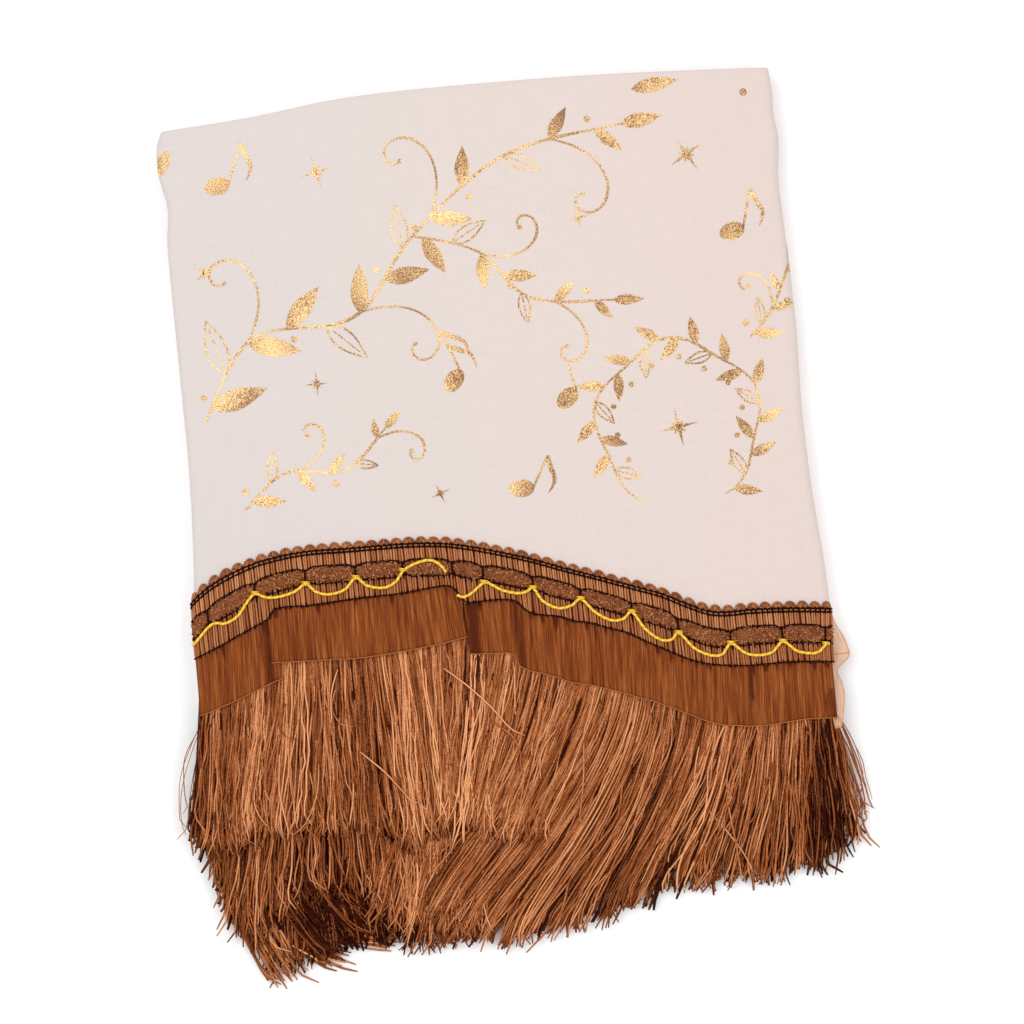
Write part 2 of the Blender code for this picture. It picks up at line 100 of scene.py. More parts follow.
def mix(start: float, end: float, share: float) -> float:
    """Go from start to end by a share."""
    return start + (end - start) * share


def clamp(value: float, low: float = 0.0, high: float = 1.0) -> float:
    """Keep a value between two limits."""
    return min(max(value, low), high)


def ease(value: float) -> float:
    """Go softly from 0 to 1 as the value does."""
    value = clamp(value)
    return value * value * (3 - 2 * value)


@dataclass(frozen=True)
class Profile:
    """A smooth curve through pairs of place and value, both in millimetres."""

    knots: tuple[Spot, ...]

    def at(self, where: float) -> float:
        """Read the curve.

        Args:
            where: Place in metres.

        Returns:
            Value in metres.
        """
        knots = self.knots
        where = clamp(where / MM, knots[0][0], knots[-1][0])
        index = 0
        while index < len(knots) - 2 and where > knots[index + 1][0]:
            index += 1
        slopes = []
        for knot in (index, index + 1):
            before = knots[max(knot - 1, 0)]
            after = knots[min(knot + 1, len(knots) - 1)]
            slopes.append((after[1] - before[1]) / (after[0] - before[0]))
        (x0, y0), (x1, y1) = knots[index], knots[index + 1]
        length = x1 - x0
        share = (where - x0) / length
        rise = share * share * (3 - 2 * share)
        leave = share * (1 - share) * (1 - share) * slopes[0] * length
        arrive = share * share * (share - 1) * slopes[1] * length
        return (mix(y0, y1, rise) + leave + arrive) * MM


# Outlines of the trim, in millimetres
PICOT_TIPS = Profile((
    (-170.0, -24.0), (-163.3, -19.5), (-151.7, -12.6), (-138.6, -7.5), (-124.7, -4.1),
    (-102.7, -1.9), (-81.1, -2.6), (-61.0, -3.1), (-46.9, -3.6), (-27.0, -5.6),
    (-7.5, -10.4), (17.8, -18.6), (35.5, -25.6), (53.3, -32.2), (72.1, -39.4),
    (86.7, -45.0), (98.3, -51.0), (110.7, -56.8), (120.3, -58.6), (134.0, -58.8),
    (155.5, -60.3), (182.0, -63.4),
))
BAND_WIDTH = Profile((
    (-170.0, 33.5), (-150.0, 36.0), (-125.0, 32.5), (-100.0, 31.5), (-50.0, 31.0),
    (0.0, 31.0), (45.0, 30.5), (80.0, 32.0), (105.0, 34.0), (130.0, 33.0), (182.0, 33.0),
))
BRAID_FOOT = Profile((
    (-170.0, -57.0), (-156.1, -52.6), (-144.6, -47.6), (-133.3, -42.9), (-125.5, -39.2),
    (-122.0, -34.6), (-103.0, -34.7), (-74.1, -33.6), (-53.5, -33.6), (-37.0, -32.3),
    (-27.0, -32.2), (-23.0, -35.4), (-19.0, -41.8), (-13.4, -42.4), (-4.0, -42.4),
    (2.4, -42.9), (8.6, -44.6), (13.0, -49.6), (18.3, -52.6), (30.8, -55.2),
    (39.0, -58.6), (45.6, -60.0), (57.8, -64.6), (65.8, -67.6), (76.1, -73.6),
    (87.0, -79.8), (99.7, -86.4), (110.4, -89.8), (128.1, -92.4), (151.4, -93.0),
    (182.0, -95.8),
))
HEM_LEFT = Profile((
    (-172.0, -88.0), (-168.0, -87.4), (-154.0, -83.5), (-139.8, -78.5), (-128.5, -74.3),
    (-120.0, -72.2),
))
HEM_MIDDLE = Profile((
    (-127.0, -63.2), (-105.7, -64.3), (-77.6, -65.7), (-56.9, -64.7), (-34.9, -62.8),
    (-19.0, -60.3),
))
HEM_RIGHT = Profile((
    (-22.0, -69.8), (-17.8, -70.1), (-6.0, -71.4), (1.6, -71.8), (4.6, -74.1),
    (6.6, -79.4), (19.2, -84.9), (32.1, -90.4), (48.5, -95.4), (64.0, -101.2),
    (79.7, -107.6), (100.2, -118.0), (110.7, -122.2), (124.0, -124.6), (138.6, -125.6),
    (153.9, -124.6), (182.0, -126.0),
))


# Shares of a pass's width, in thousandths, at which its front edge is given
EDGE_PLACES = (0.0, 200.0, 500.0, 1000.0)


@dataclass(frozen=True)
class Pass:
    """One pass of the doubled cloth, with its front edge at four places across, in mm."""

    level: int
    heading: int
    steps: int
    edges: tuple[float, float, float, float] | None = None


@dataclass(frozen=True)
class Fold:
    """The fold between two passes, and how unevenly it lies, in mm and radians."""

    side: Side
    inset: float = 0.0
    sway: float = 0.0
    phase: float = 0.0


@dataclass(frozen=True)
class Crease:
    """A soft ridge or trough on the top of the cloth, in millimetres."""

    start: tuple[float, float]
    end: tuple[float, float]
    width: float
    height: float


@dataclass(frozen=True)
class Stack:
    """The folded cloth's own geometry, which everything else lies on."""

    cad_thickness: float = 0.0010
    layer_offset: float = 0.0008
    pass_half: float = 0.0013
    pass_pitch: float = 0.0032
    under_shorter: float = 0.0030
    inner_inset: float = 0.0040
    edge_under_braid: float = 0.0190
    trim_middle_y: float = -0.050
    sheet_thickness: float = 0.0006
    sway_length: float = 0.11
    swell_share: float = 0.035
    swell_across: float = 0.24
    swell_along: float = 0.30
    swell_phase: float = 0.8
    left_side: Profile = Profile((
        (-100.0, -169.0), (-45.0, -166.8), (0.0, -162.8), (45.0, -160.2), (90.0, -159.6),
        (150.0, -159.0), (170.0, -158.4), (187.0, -156.2), (203.0, -159.0), (215.0, -159.3), (223.0, -158.2),
        (229.0, -155.2),
    ))
    right_side: Profile = Profile((
        (-100.0, 177.5), (-45.0, 177.0), (0.0, 174.4), (45.0, 173.8), (90.0, 175.6),
        (150.0, 174.8), (168.0, 174.6), (191.0, 177.0), (203.0, 175.6), (215.0, 176.2), (229.0, 175.4),
    ))
    back_left: float = -0.157
    back_right: float = 0.176
    back: Profile = Profile((
        (-157.0, 229.0), (-110.0, 231.5), (-55.0, 236.5), (15.0, 236.5), (90.0, 234.0),
        (176.0, 228.5),
    ))
    passes: tuple[Pass, ...] = (
        Pass(5, -1, 24, (-44.0, -102.0, -92.0, -80.0)),
        Pass(TOP_LEVEL, 1, 84),
        Pass(4, -1, 18, (-94.0, -116.0, -104.0, -83.0)),
        Pass(3, 1, 16, (-94.0, -104.0, -96.0, -84.0)),
        Pass(1, -1, 16, (-88.0, -104.0, -94.0, -84.0)),
        Pass(2, 1, 16, (-88.0, -96.0, -92.0, -86.0)),
    )
    folds: tuple[Fold, ...] = (
        Fold(Side.LEFT),
        Fold(Side.RIGHT),
        Fold(Side.LEFT, 1.2, 0.8, 0.6),
        Fold(Side.RIGHT, 1.6, 1.0, 2.1),
        Fold(Side.LEFT, 2.0, 1.0, 4.0),
    )
    creases: tuple[Crease, ...] = (
        Crease((-156.0, 214.0), (-60.0, 160.0), 9.0, 0.55),
        Crease((-158.0, 178.0), (-96.0, 150.0), 7.0, -0.45),
        Crease((-40.0, 232.0), (10.0, 150.0), 12.0, 0.40),
        Crease((80.0, 232.0), (172.0, 190.0), 10.0, 0.50),
        Crease((172.0, 120.0), (70.0, 60.0), 12.0, 0.45),
        Crease((174.0, 30.0), (96.0, -10.0), 8.0, 0.50),
        Crease((-160.0, 60.0), (-70.0, 96.0), 11.0, 0.50),
        Crease((-96.0, 40.0), (20.0, 20.0), 10.0, -0.35),
        Crease((-30.0, 110.0), (60.0, 140.0), 14.0, -0.30),
        Crease((-158.0, 6.0), (-120.0, 30.0), 7.0, 0.45),
        Crease((30.0, 10.0), (80.0, -20.0), 8.0, 0.40),
    )

    def swell(self, point: Vector) -> Vector:
        """Lift a point with the soft swell of the stack, leaving the floor flat."""
        across = math.cos(TURN * point.x / self.swell_across + self.swell_phase)
        along = math.cos(TURN * point.y / self.swell_along)
        lift = max(point.z - self.cad_thickness / 2, 0.0) * self.swell_share * across * along
        return Vector((point.x, point.y, point.z + lift))

    def level(self, level: int) -> float:
        """Give the height of a pass's middle, counted from 1 at the floor."""
        return self.pass_half + (level - 1) * self.pass_pitch

    def radius(self, index: int) -> float:
        """Give the radius of a fold."""
        first, second = self.passes[index].level, self.passes[index + 1].level
        return abs(self.level(first) - self.level(second)) / 2

    def fold_centre(self, index: int, y: float) -> float:
        """Give the x of a fold's centre line.

        Args:
            index: Which fold.
            y: Place along the fold.

        Returns:
            The x in metres.
        """
        fold = self.folds[index]
        outer = (self.left_side if fold.side is Side.LEFT else self.right_side).at(y)
        sway = fold.sway * MM * math.sin(TURN * y / self.sway_length + fold.phase)
        return outer - fold.side.value * (fold.inset * MM + sway + self.radius(index) + self.pass_half)

    def pass_ends(self, index: int, y: float) -> tuple[float, float]:
        """Give the left and right ends of a pass.

        Args:
            index: Which pass.
            y: Place along the folds.

        Returns:
            The two x values in metres.
        """
        ends = {}
        for fold_index in (index - 1, index):
            if 0 <= fold_index < len(self.folds):
                ends[self.folds[fold_index].side] = self.fold_centre(fold_index, y)
        if Side.RIGHT not in ends:
            neighbour = 1 if index == 0 else index - 2
            ends[Side.RIGHT] = self.fold_centre(neighbour, y) - self.inner_inset
        return ends[Side.LEFT], ends[Side.RIGHT]

    def relief(self, x: float, y: float) -> float:
        """Give the soft creases of the top of the cloth, faded out at its edges.

        Args:
            x: Place across.
            y: Place along the folds.

        Returns:
            The rise in metres.
        """
        rise = 0.22 * MM * noise.noise(Vector((x * 14, y * 14, 3.0)))
        rise += 0.10 * MM * noise.noise(Vector((x * 45, y * 38, 8.0)))
        for crease in self.creases:
            start, end = Vector(crease.start) * MM, Vector(crease.end) * MM
            run = end - start
            share = (Vector((x, y)) - start).dot(run) / run.length_squared
            foot = start + run * clamp(share)
            away = (Vector((x, y)) - foot).length / (crease.width * MM)
            taper = ease(clamp(share) * 4) * ease((1 - clamp(share)) * 4) if 0 < share < 1 else 0.0
            rise += crease.height * MM * math.exp(-away * away) * taper
        fade = ease((y - PICOT_TIPS.at(x) + 2 * MM) / (14 * MM)) * ease((0.226 - y) / 0.012)
        fade *= ease((x + 0.157) / 0.012) * ease((0.172 - x) / 0.012)
        return rise * fade

    def over_top(self, along: float, y: float, height: float) -> Vector:
        """Give a point above the top pass, wrapped round its side folds past their centres.

        Args:
            along: Distance across the cloth.
            y: Place along the folds.
            height: Height above the middle of the top pass.

        Returns:
            The point in metres.
        """
        top = self.level(TOP_LEVEL)
        for index in (0, 1):
            side = self.folds[index].side.value
            centre = self.fold_centre(index, y)
            past = side * (along - centre)
            if past > 0:
                radius = self.radius(index)
                reach = radius + height
                angle = past / reach
                x = centre + side * reach * math.sin(angle)
                return self.swell(Vector((x, y, top - radius + reach * math.cos(angle))))
        point = self.swell(Vector((along, y, top + height)))
        return point + Vector((0.0, 0.0, self.relief(along, y)))

    def cloth_top(self, along: float, y: float, height: float) -> Vector:
        """Give a point at a height above the upper side of the top cloth."""
        return self.over_top(along, y, self.layer_offset + self.sheet_thickness / 2 + height)

    def front_edge(self, index: int, across: float) -> float:
        """Give the y of a pass's front edge at a share of its width."""
        row = self.passes[index]
        if row.edges is None:
            left, right = self.pass_ends(index, self.trim_middle_y)
            return PICOT_TIPS.at(mix(left, right, across)) - self.edge_under_braid
        return Profile(tuple(zip(EDGE_PLACES, row.edges))).at(across)


STACK = Stack()


class Tree:
    """A short way to place and join shader nodes in one tree."""

    def __init__(self, tree: bpy.types.NodeTree) -> None:
        """Keep the tree that the nodes go into."""
        self.tree = tree

    def add(self, kind: str, inputs: dict | None = None, **settings: object) -> bpy.types.Node:
        """Add a node.

        Args:
            kind: Type of the node without its common beginning.
            inputs: Values or output sockets by input name or number.
            settings: Properties of the node.

        Returns:
            The new node.
        """
        node = self.tree.nodes.new("ShaderNode" + kind)
        for name, value in settings.items():
            setattr(node, name, value)
        for key, value in (inputs or {}).items():
            if isinstance(value, bpy.types.NodeSocket):
                self.tree.links.new(value, node.inputs[key])
            else:
                node.inputs[key].default_value = value
        return node

    def ramp(self, factor: Socket, stops: Sequence[tuple[float, tuple]]) -> Socket:
        """Colour a factor by stops of place and colour, and return the colour's socket."""
        node = self.add("ValToRGB", {0: factor})
        elements = node.color_ramp.elements
        while len(elements) < len(stops):
            elements.new(0.5)
        for element, (place, colour) in zip(elements, stops):
            element.position = place
            element.color = colour
        return node.outputs[0]

    def maths(self, operation: str, first: object, second: object = 0.0) -> Socket:
        """Join two values by a sum, product or other operation."""
        return self.add("Math", {0: first, 1: second}, operation=operation).outputs[0]

    def blend(self, factor: object, first: object, second: object, how: str = "MIX") -> Socket:
        """Blend two colours by a factor."""
        node = self.add("Mix", {0: factor, 6: first, 7: second}, data_type="RGBA", blend_type=how)
        return node.outputs[2]

    def place(self) -> Socket:
        """Give object coordinates."""
        return self.add("TexCoord").outputs["Object"]

    def stretch(self, vector: Socket, scale: tuple[float, float, float]) -> Socket:
        """Scale a vector's axes apart, so that a pattern becomes long and thin."""
        return self.add("Mapping", {0: vector, 3: scale}).outputs[0]

    def attribute(self, name: str) -> Socket:
        """Read a number that each point of the mesh keeps."""
        return self.add("Attribute", attribute_name=name).outputs["Fac"]

    def clouds(self, vector: Socket, scale: object, detail: float, **more: float) -> Socket:
        """Give soft random patches, with more sockets set by their names."""
        return self.add("TexNoise", {0: vector, "Scale": scale, "Detail": detail, **more}).outputs[0]

    def effect(self, group: bpy.types.NodeTree, inputs: dict) -> bpy.types.Node:
        """Place a shared effect with its own values."""
        return self.add("Group", inputs, node_tree=group)


class Effects:
    """Node groups that several materials share, each built once."""

    @staticmethod
    def group(name: str, inputs: Sequence[tuple[str, str, object]],
              outputs: Sequence[str]) -> tuple[Tree, dict, bpy.types.Node]:
        """Start a node group with named sockets.

        Args:
            name: Name of the group.
            inputs: Name, kind and value of each input.
            outputs: Name of each output, all of them numbers.

        Returns:
            The group's node helper, its inner input sockets and its output node.
        """
        tree = bpy.data.node_groups.new(name, "ShaderNodeTree")
        for label, kind, value in inputs:
            socket = tree.interface.new_socket(label, in_out="INPUT", socket_type="NodeSocket" + kind)
            if value is not None:
                socket.default_value = value
        for label in outputs:
            tree.interface.new_socket(label, in_out="OUTPUT", socket_type="NodeSocketFloat")
        inner = tree.nodes.new("NodeGroupInput").outputs
        end = tree.nodes.new("NodeGroupOutput")
        return Tree(tree), {label: inner[label] for label, _, _ in inputs}, end

    @staticmethod
    @cache
    def weave() -> bpy.types.NodeTree:
        """Give a plain weave: crossing threads and their uneven thickness."""
        nodes, inner, end = Effects.group(
            "weave",
            (("Vector", "Vector", None), ("Threads", "Float", 2600.0), ("Slub", "Float", 0.5)),
            ("Height", "Slub"),
        )
        parts = nodes.add("SeparateXYZ", {0: inner["Vector"]})
        waves = []
        for axis in (0, 1):
            angle = nodes.maths("MULTIPLY", parts.outputs[axis], inner["Threads"])
            waves.append(nodes.maths("SINE", angle))
        cross = nodes.maths("MULTIPLY", waves[0], waves[1])
        slubs = []
        for scale in ((30.0, 700.0, 1.0), (700.0, 30.0, 1.0)):
            slubs.append(nodes.clouds(nodes.stretch(inner["Vector"], scale), 1.0, 2.0))
        slub = nodes.maths("MULTIPLY", nodes.maths("ADD", slubs[0], slubs[1]), 0.5)
        uneven = nodes.maths("MULTIPLY", slub, inner["Slub"])
        rise = nodes.maths("ADD", nodes.maths("MULTIPLY", cross, 0.5), uneven)
        nodes.tree.links.new(rise, end.inputs["Height"])
        nodes.tree.links.new(slub, end.inputs["Slub"])
        return nodes.tree

    @staticmethod
    @cache
    def yarn() -> bpy.types.NodeTree:
        """Give a twisted yarn: slanting turns along it and loose fibres."""
        nodes, inner, end = Effects.group(
            "yarn",
            (("Run", "Float", 0.0), ("Turns", "Float", 900.0), ("Fibres", "Float", 1800.0)),
            ("Height", "Fuzz"),
        )
        turn = nodes.maths("MULTIPLY", inner["Run"], inner["Turns"])
        fine = nodes.clouds(nodes.place(), inner["Fibres"], 2.0)
        slant = nodes.maths("MULTIPLY", fine, 5.0)
        wave = nodes.maths("SINE", nodes.maths("ADD", turn, slant))
        rise = nodes.maths("ADD", nodes.maths("MULTIPLY", wave, 0.35), fine)
        nodes.tree.links.new(rise, end.inputs["Height"])
        nodes.tree.links.new(fine, end.inputs["Fuzz"])
        return nodes.tree

    @staticmethod
    @cache
    def foil_glint_grain() -> bpy.types.NodeTree:
        """Give the grain of pressed foil, in patches: its bright grains are painted glints, its dark grains
        darker foil.
        """
        nodes, inner, end = Effects.group(
            "foil_glint_grain",
            (("Grain", "Float", 1500.0), ("Patch", "Float", 45.0)),
            ("Grain", "Patch"),
        )
        place = nodes.place()
        for label in ("Grain", "Patch"):
            nodes.tree.links.new(nodes.clouds(place, inner[label], 1.0), end.inputs[label])
        return nodes.tree


def new_material(name: str) -> tuple[bpy.types.Material, Tree, bpy.types.Node]:
    """Start a material.

    Args:
        name: Name of the material.

    Returns:
        The material, its node helper and its main shader.
    """
    material = bpy.data.materials.new(name)
    material.use_nodes = True
    return material, Tree(material.node_tree), material.node_tree.nodes["Principled BSDF"]


def dress(nodes: Tree, shader: bpy.types.Node, colour: Socket, bump: bpy.types.Node | None,
          **values: object) -> None:
    """Join a colour and a bump to a shader and set its own sockets.

    Args:
        nodes: The material's node helper.
        shader: Its main shader.
        colour: Its colour.
        bump: Its bump, if it has one.
        values: Values by socket name, written with low lines for spaces.
    """
    nodes.tree.links.new(colour, shader.inputs["Base Color"])
    if bump is not None:
        nodes.tree.links.new(bump.outputs[0], shader.inputs["Normal"])
    for name, value in values.items():
        shader.inputs[name.replace("_", " ")].default_value = value


@dataclass(frozen=True)
class ClothFinish:
    """Cream dress-weight cloth with a fine plain weave, a faint bloom of warm and cool patches, and a painted
    shade that leaves it cooler and darker towards its left.
    """

    base: tuple = srgb(215, 202, 196)
    warm_light: tuple = srgb(217, 201, 194)
    cool_shade: tuple = srgb(210, 201, 198)
    thread_pitch: float = 0.0009

    def material(self) -> bpy.types.Material:
        """Build the material."""
        material, nodes, shader = new_material("cream_cloth")
        place = nodes.place()
        broad = nodes.clouds(place, 5.0, 2.0)
        # The colour runs cooler and darker towards the left as painted shade; the cloud patches add random
        # tone.
        across = nodes.add("SeparateXYZ", {0: place}).outputs[0]
        level = nodes.maths("ADD", nodes.maths("MULTIPLY", across, 2.2), nodes.maths("MULTIPLY", broad, 0.5))
        level = nodes.maths("ADD", level, 0.25)
        colour = nodes.ramp(level, ((0.15, self.cool_shade), (0.50, self.base), (0.85, self.warm_light)))
        flat = nodes.add("UVMap", uv_map="UVMap").outputs[0]
        threads = TURN / self.thread_pitch
        woven = nodes.effect(Effects.weave(), {"Vector": flat, "Threads": threads, "Slub": 0.6})
        tint = nodes.ramp(woven.outputs["Slub"], ((0.3, (0.93, 0.93, 0.93, 1)), (0.7, (1, 1, 1, 1))))
        colour = nodes.blend(1.0, colour, tint, "MULTIPLY")
        bump = nodes.add("Bump", {"Strength": 0.22, "Distance": 0.00012, "Height": woven.outputs["Height"]})
        dress(nodes, shader, colour, bump,
              Roughness=0.80, Sheen_Weight=0.06, Sheen_Roughness=0.45, Specular_IOR_Level=0.15)
        return material


@dataclass(frozen=True)
class FoilFinish:
    """Gold foil pressed on the cloth, broken up by the weave, with painted glints in its grain."""

    light: tuple = srgb(248, 212, 148)
    middle: tuple = srgb(198, 154, 104)
    dark: tuple = srgb(128, 86, 48)

    def material(self) -> bpy.types.Material:
        """Build the material."""
        material, nodes, shader = new_material("gold_foil")
        foil_grain_glints = nodes.effect(Effects.foil_glint_grain(), {"Grain": 1500.0, "Patch": 38.0})
        grain = nodes.maths("SUBTRACT", foil_grain_glints.outputs["Grain"], 0.5)
        patch = nodes.maths("SUBTRACT", foil_grain_glints.outputs["Patch"], 0.5)
        level = nodes.maths("ADD", nodes.maths("MULTIPLY", grain, 2.2), nodes.maths("MULTIPLY", patch, 1.6))
        level = nodes.maths("ADD", level, 0.5)
        # The light stop colours the bright grains as painted glints.
        colour = nodes.ramp(level, ((0.12, self.dark), (0.45, self.middle), (0.85, self.light)))
        bump = nodes.add("Bump", {"Strength": 0.5, "Distance": 0.0002, "Height": foil_grain_glints.outputs["Grain"]})
        dress(nodes, shader, colour, bump, Metallic=0.12, Roughness=0.40)
        return material


@dataclass(frozen=True)
class YarnFinish:
    """Yarn or cord that takes its tone from a number kept on each point, with painted shade that darkens its
    sides as they turn away from view.
    """

    name: str
    dark: tuple
    middle: tuple
    light: tuple
    roughness: float = 0.5
    turns: float = 900.0
    fibres: float = 1800.0
    bump: float = 0.4
    metallic: float = 0.0
    sheen: float = 0.0
    # The edge colour is painted shade laid on the cord's sides where they turn away from view.
    edge: tuple = (0.50, 0.32, 0.22, 1.0)
    specular: float = 0.15

    def material(self) -> bpy.types.Material:
        """Build the material."""
        material, nodes, shader = new_material(self.name)
        tone = nodes.attribute("tone")
        run = nodes.attribute("run")
        yarn = nodes.effect(Effects.yarn(), {"Run": run, "Turns": self.turns, "Fibres": self.fibres})
        fuzz = nodes.maths("MULTIPLY", nodes.maths("SUBTRACT", yarn.outputs["Fuzz"], 0.5), 0.5)
        level = nodes.maths("ADD", tone, fuzz)
        colour = nodes.ramp(level, ((0.05, self.dark), (0.5, self.middle), (0.95, self.light)))
        height = yarn.outputs["Height"]
        bump = nodes.add("Bump", {"Strength": self.bump, "Distance": 0.00015, "Height": height})
        # Painted shade: the sides that turn away from view are darkened towards the edge colour.
        facing = nodes.add("LayerWeight", {"Blend": 0.5}).outputs["Facing"]
        painted_side_shade = nodes.maths("POWER", facing, 1.6)
        colour = nodes.blend(1.0, colour, nodes.blend(painted_side_shade, (1.0, 1.0, 1.0, 1.0), self.edge), "MULTIPLY")
        dress(nodes, shader, colour, bump, Roughness=self.roughness, Metallic=self.metallic,
              Sheen_Weight=self.sheen, Specular_IOR_Level=self.specular)
        return material


@dataclass(frozen=True)
class OrganzaFinish:
    """Sheer cloth with upright crinkles and long fibres, which lets what is under it show, darkened where
    each point's tone holds painted shade.
    """

    name: str
    dark: tuple
    middle: tuple
    light: tuple
    cover: Spot = (0.80, 0.95)
    thread_pitch: float = 0.0006

    def material(self) -> bpy.types.Material:
        """Build the material."""
        material, nodes, shader = new_material(self.name)
        place = nodes.place()
        flat = nodes.add("UVMap", uv_map="UVMap").outputs[0]
        streaks = nodes.stretch(flat, (1900.0, 46.0, 1.0))
        fine = nodes.clouds(streaks, 1.0, 4.0, Roughness=0.65, Distortion=0.25)
        broad = nodes.clouds(nodes.stretch(flat, (420.0, 14.0, 1.0)), 1.0, 2.0)
        level = nodes.maths("ADD", nodes.maths("MULTIPLY", fine, 0.70), nodes.maths("MULTIPLY", broad, 0.30))
        # The tone carries painted shade of the tucks, the gathers and the tail.
        gather = nodes.maths("MULTIPLY", nodes.maths("SUBTRACT", nodes.attribute("tone"), 0.5), 0.30)
        level = nodes.maths("ADD", level, gather)
        colour = nodes.ramp(level, ((0.34, self.dark), (0.50, self.middle), (0.66, self.light)))
        alpha = nodes.add("MapRange", {0: level, 1: 0.35, 2: 0.65, 3: self.cover[0], 4: self.cover[1]})
        woven = nodes.effect(Effects.weave(), {"Vector": place, "Threads": TURN / self.thread_pitch})
        height = nodes.maths("ADD", nodes.maths("MULTIPLY", woven.outputs["Height"], 0.2), level)
        bump = nodes.add("Bump", {"Strength": 0.5, "Distance": 0.0003, "Height": height})
        nodes.tree.links.new(alpha.outputs[0], shader.inputs["Alpha"])
        dress(nodes, shader, colour, bump, Roughness=0.65, Specular_IOR_Level=0.08)
        return material


BRAID_YARN = YarnFinish(
    "brown_braid", srgb(84, 32, 12), srgb(160, 94, 52), srgb(216, 152, 104),
    roughness=0.6, bump=0.55,
)
STITCH_YARN = YarnFinish(
    "dark_stitch", srgb(28, 6, 5), srgb(42, 11, 8), srgb(70, 24, 16), roughness=0.7, specular=0.05,
)
GOLD_YARN = YarnFinish(
    "gold_cord", srgb(150, 84, 4), srgb(240, 182, 28), srgb(255, 228, 84), roughness=0.34,
    turns=2600.0, bump=0.3, metallic=0.1, edge=(0.40, 0.20, 0.04, 1.0), specular=0.5,
)
FRINGE_YARN = YarnFinish(
    "brown_fringe", srgb(54, 13, 2), srgb(166, 94, 50), srgb(240, 172, 120), roughness=0.55,
    turns=3200.0, fibres=900.0, edge=(0.40, 0.20, 0.10, 1.0), specular=0.06,
)
HEM_YARN = YarnFinish(
    "hem_thread", srgb(128, 66, 30), srgb(172, 104, 58), srgb(204, 140, 92), roughness=0.6, bump=0.2,
)
ORGANZA = OrganzaFinish("brown_organza", srgb(84, 33, 8), srgb(128, 62, 22), srgb(176, 104, 52))
PALE_ORGANZA = OrganzaFinish(
    "pale_organza", srgb(214, 152, 108), srgb(234, 186, 146), srgb(244, 208, 176), cover=(0.42, 0.70)
)
PALE_YARN = YarnFinish(
    "pale_thread", srgb(206, 138, 92), srgb(226, 168, 124), srgb(238, 190, 150),
    roughness=0.6, bump=0.1,
)


def put_in_scene(name: str, data: bpy.types.Mesh, material: bpy.types.Material,
                 replaced: Iterable[str] = ()) -> bpy.types.Object:
    """Make an object of a mesh, dress it and let it ride with the part.

    Args:
        name: Name of the piece.
        data: Its mesh.
        material: Its material.
        replaced: Nodes of the frame that it stands for.

    Returns:
        The new object.
    """
    data.name = name
    piece = bpy.data.objects.new(name, data)
    bpy.context.scene.collection.objects.link(piece)
    data.materials.clear()
    data.materials.append(material)
    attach(piece, BODY)
    if replaced:
        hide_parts(*replaced)
    triangles = sum(len(face.vertices) - 2 for face in data.polygons)
    LOG.info("%s: %d triangles before its modifiers", name, triangles)
    return piece


def keep_number(data: bpy.types.Mesh, name: str, values: Sequence[float]) -> None:
    """Keep a number on each point of a mesh, for its material to read."""
    layer = data.attributes.new(name, "FLOAT", "POINT")
    layer.data.foreach_set("value", np.asarray(values, dtype=np.float32))


def sheet_mesh(columns: Sequence[Sequence[Vector]]) -> bmesh.types.BMesh:
    """Shape a grid of smooth quads into columns of points.

    Args:
        columns: Columns with the same number of points.

    Returns:
        The grid, with its texture map in shares of the columns and the rows.
    """
    mesh = bmesh.new()
    mesh.loops.layers.uv.new("UVMap")
    last, rows = len(columns) - 1, len(columns[0]) - 1
    bmesh.ops.create_grid(mesh, x_segments=last, y_segments=rows, size=1.0, calc_uvs=True)
    for vert in mesh.verts:
        column = round((vert.co.x + 1) / 2 * last)
        row = round((vert.co.y + 1) / 2 * rows)
        vert.co = columns[column][row]
    for face in mesh.faces:
        face.smooth = True
    return mesh


def map_sheet(mesh: bmesh.types.BMesh, size: Spot, start: float = 0.0) -> None:
    """Turn a sheet's texture map from shares into metres.

    Args:
        mesh: The sheet.
        size: Length across its columns and down them.
        start: Where its first column lies.
    """
    layer = mesh.loops.layers.uv.active
    for face in mesh.faces:
        for loop in face.loops:
            share = loop[layer].uv
            loop[layer].uv = (start + share[0] * size[0], share[1] * size[1])


def to_data(mesh: bmesh.types.BMesh) -> bpy.types.Mesh:
    """Turn a bmesh into mesh data and free it."""
    data = bpy.data.meshes.new("piece")
    mesh.to_mesh(data)
    mesh.free()
    return data


def thicken(piece: bpy.types.Object, thickness: float) -> None:
    """Give a sheet an even thickness about its middle."""
    wall = piece.modifiers.new("thickness", "SOLIDIFY")
    wall.thickness = thickness
    wall.offset = 0.0
    wall.use_even_offset = True


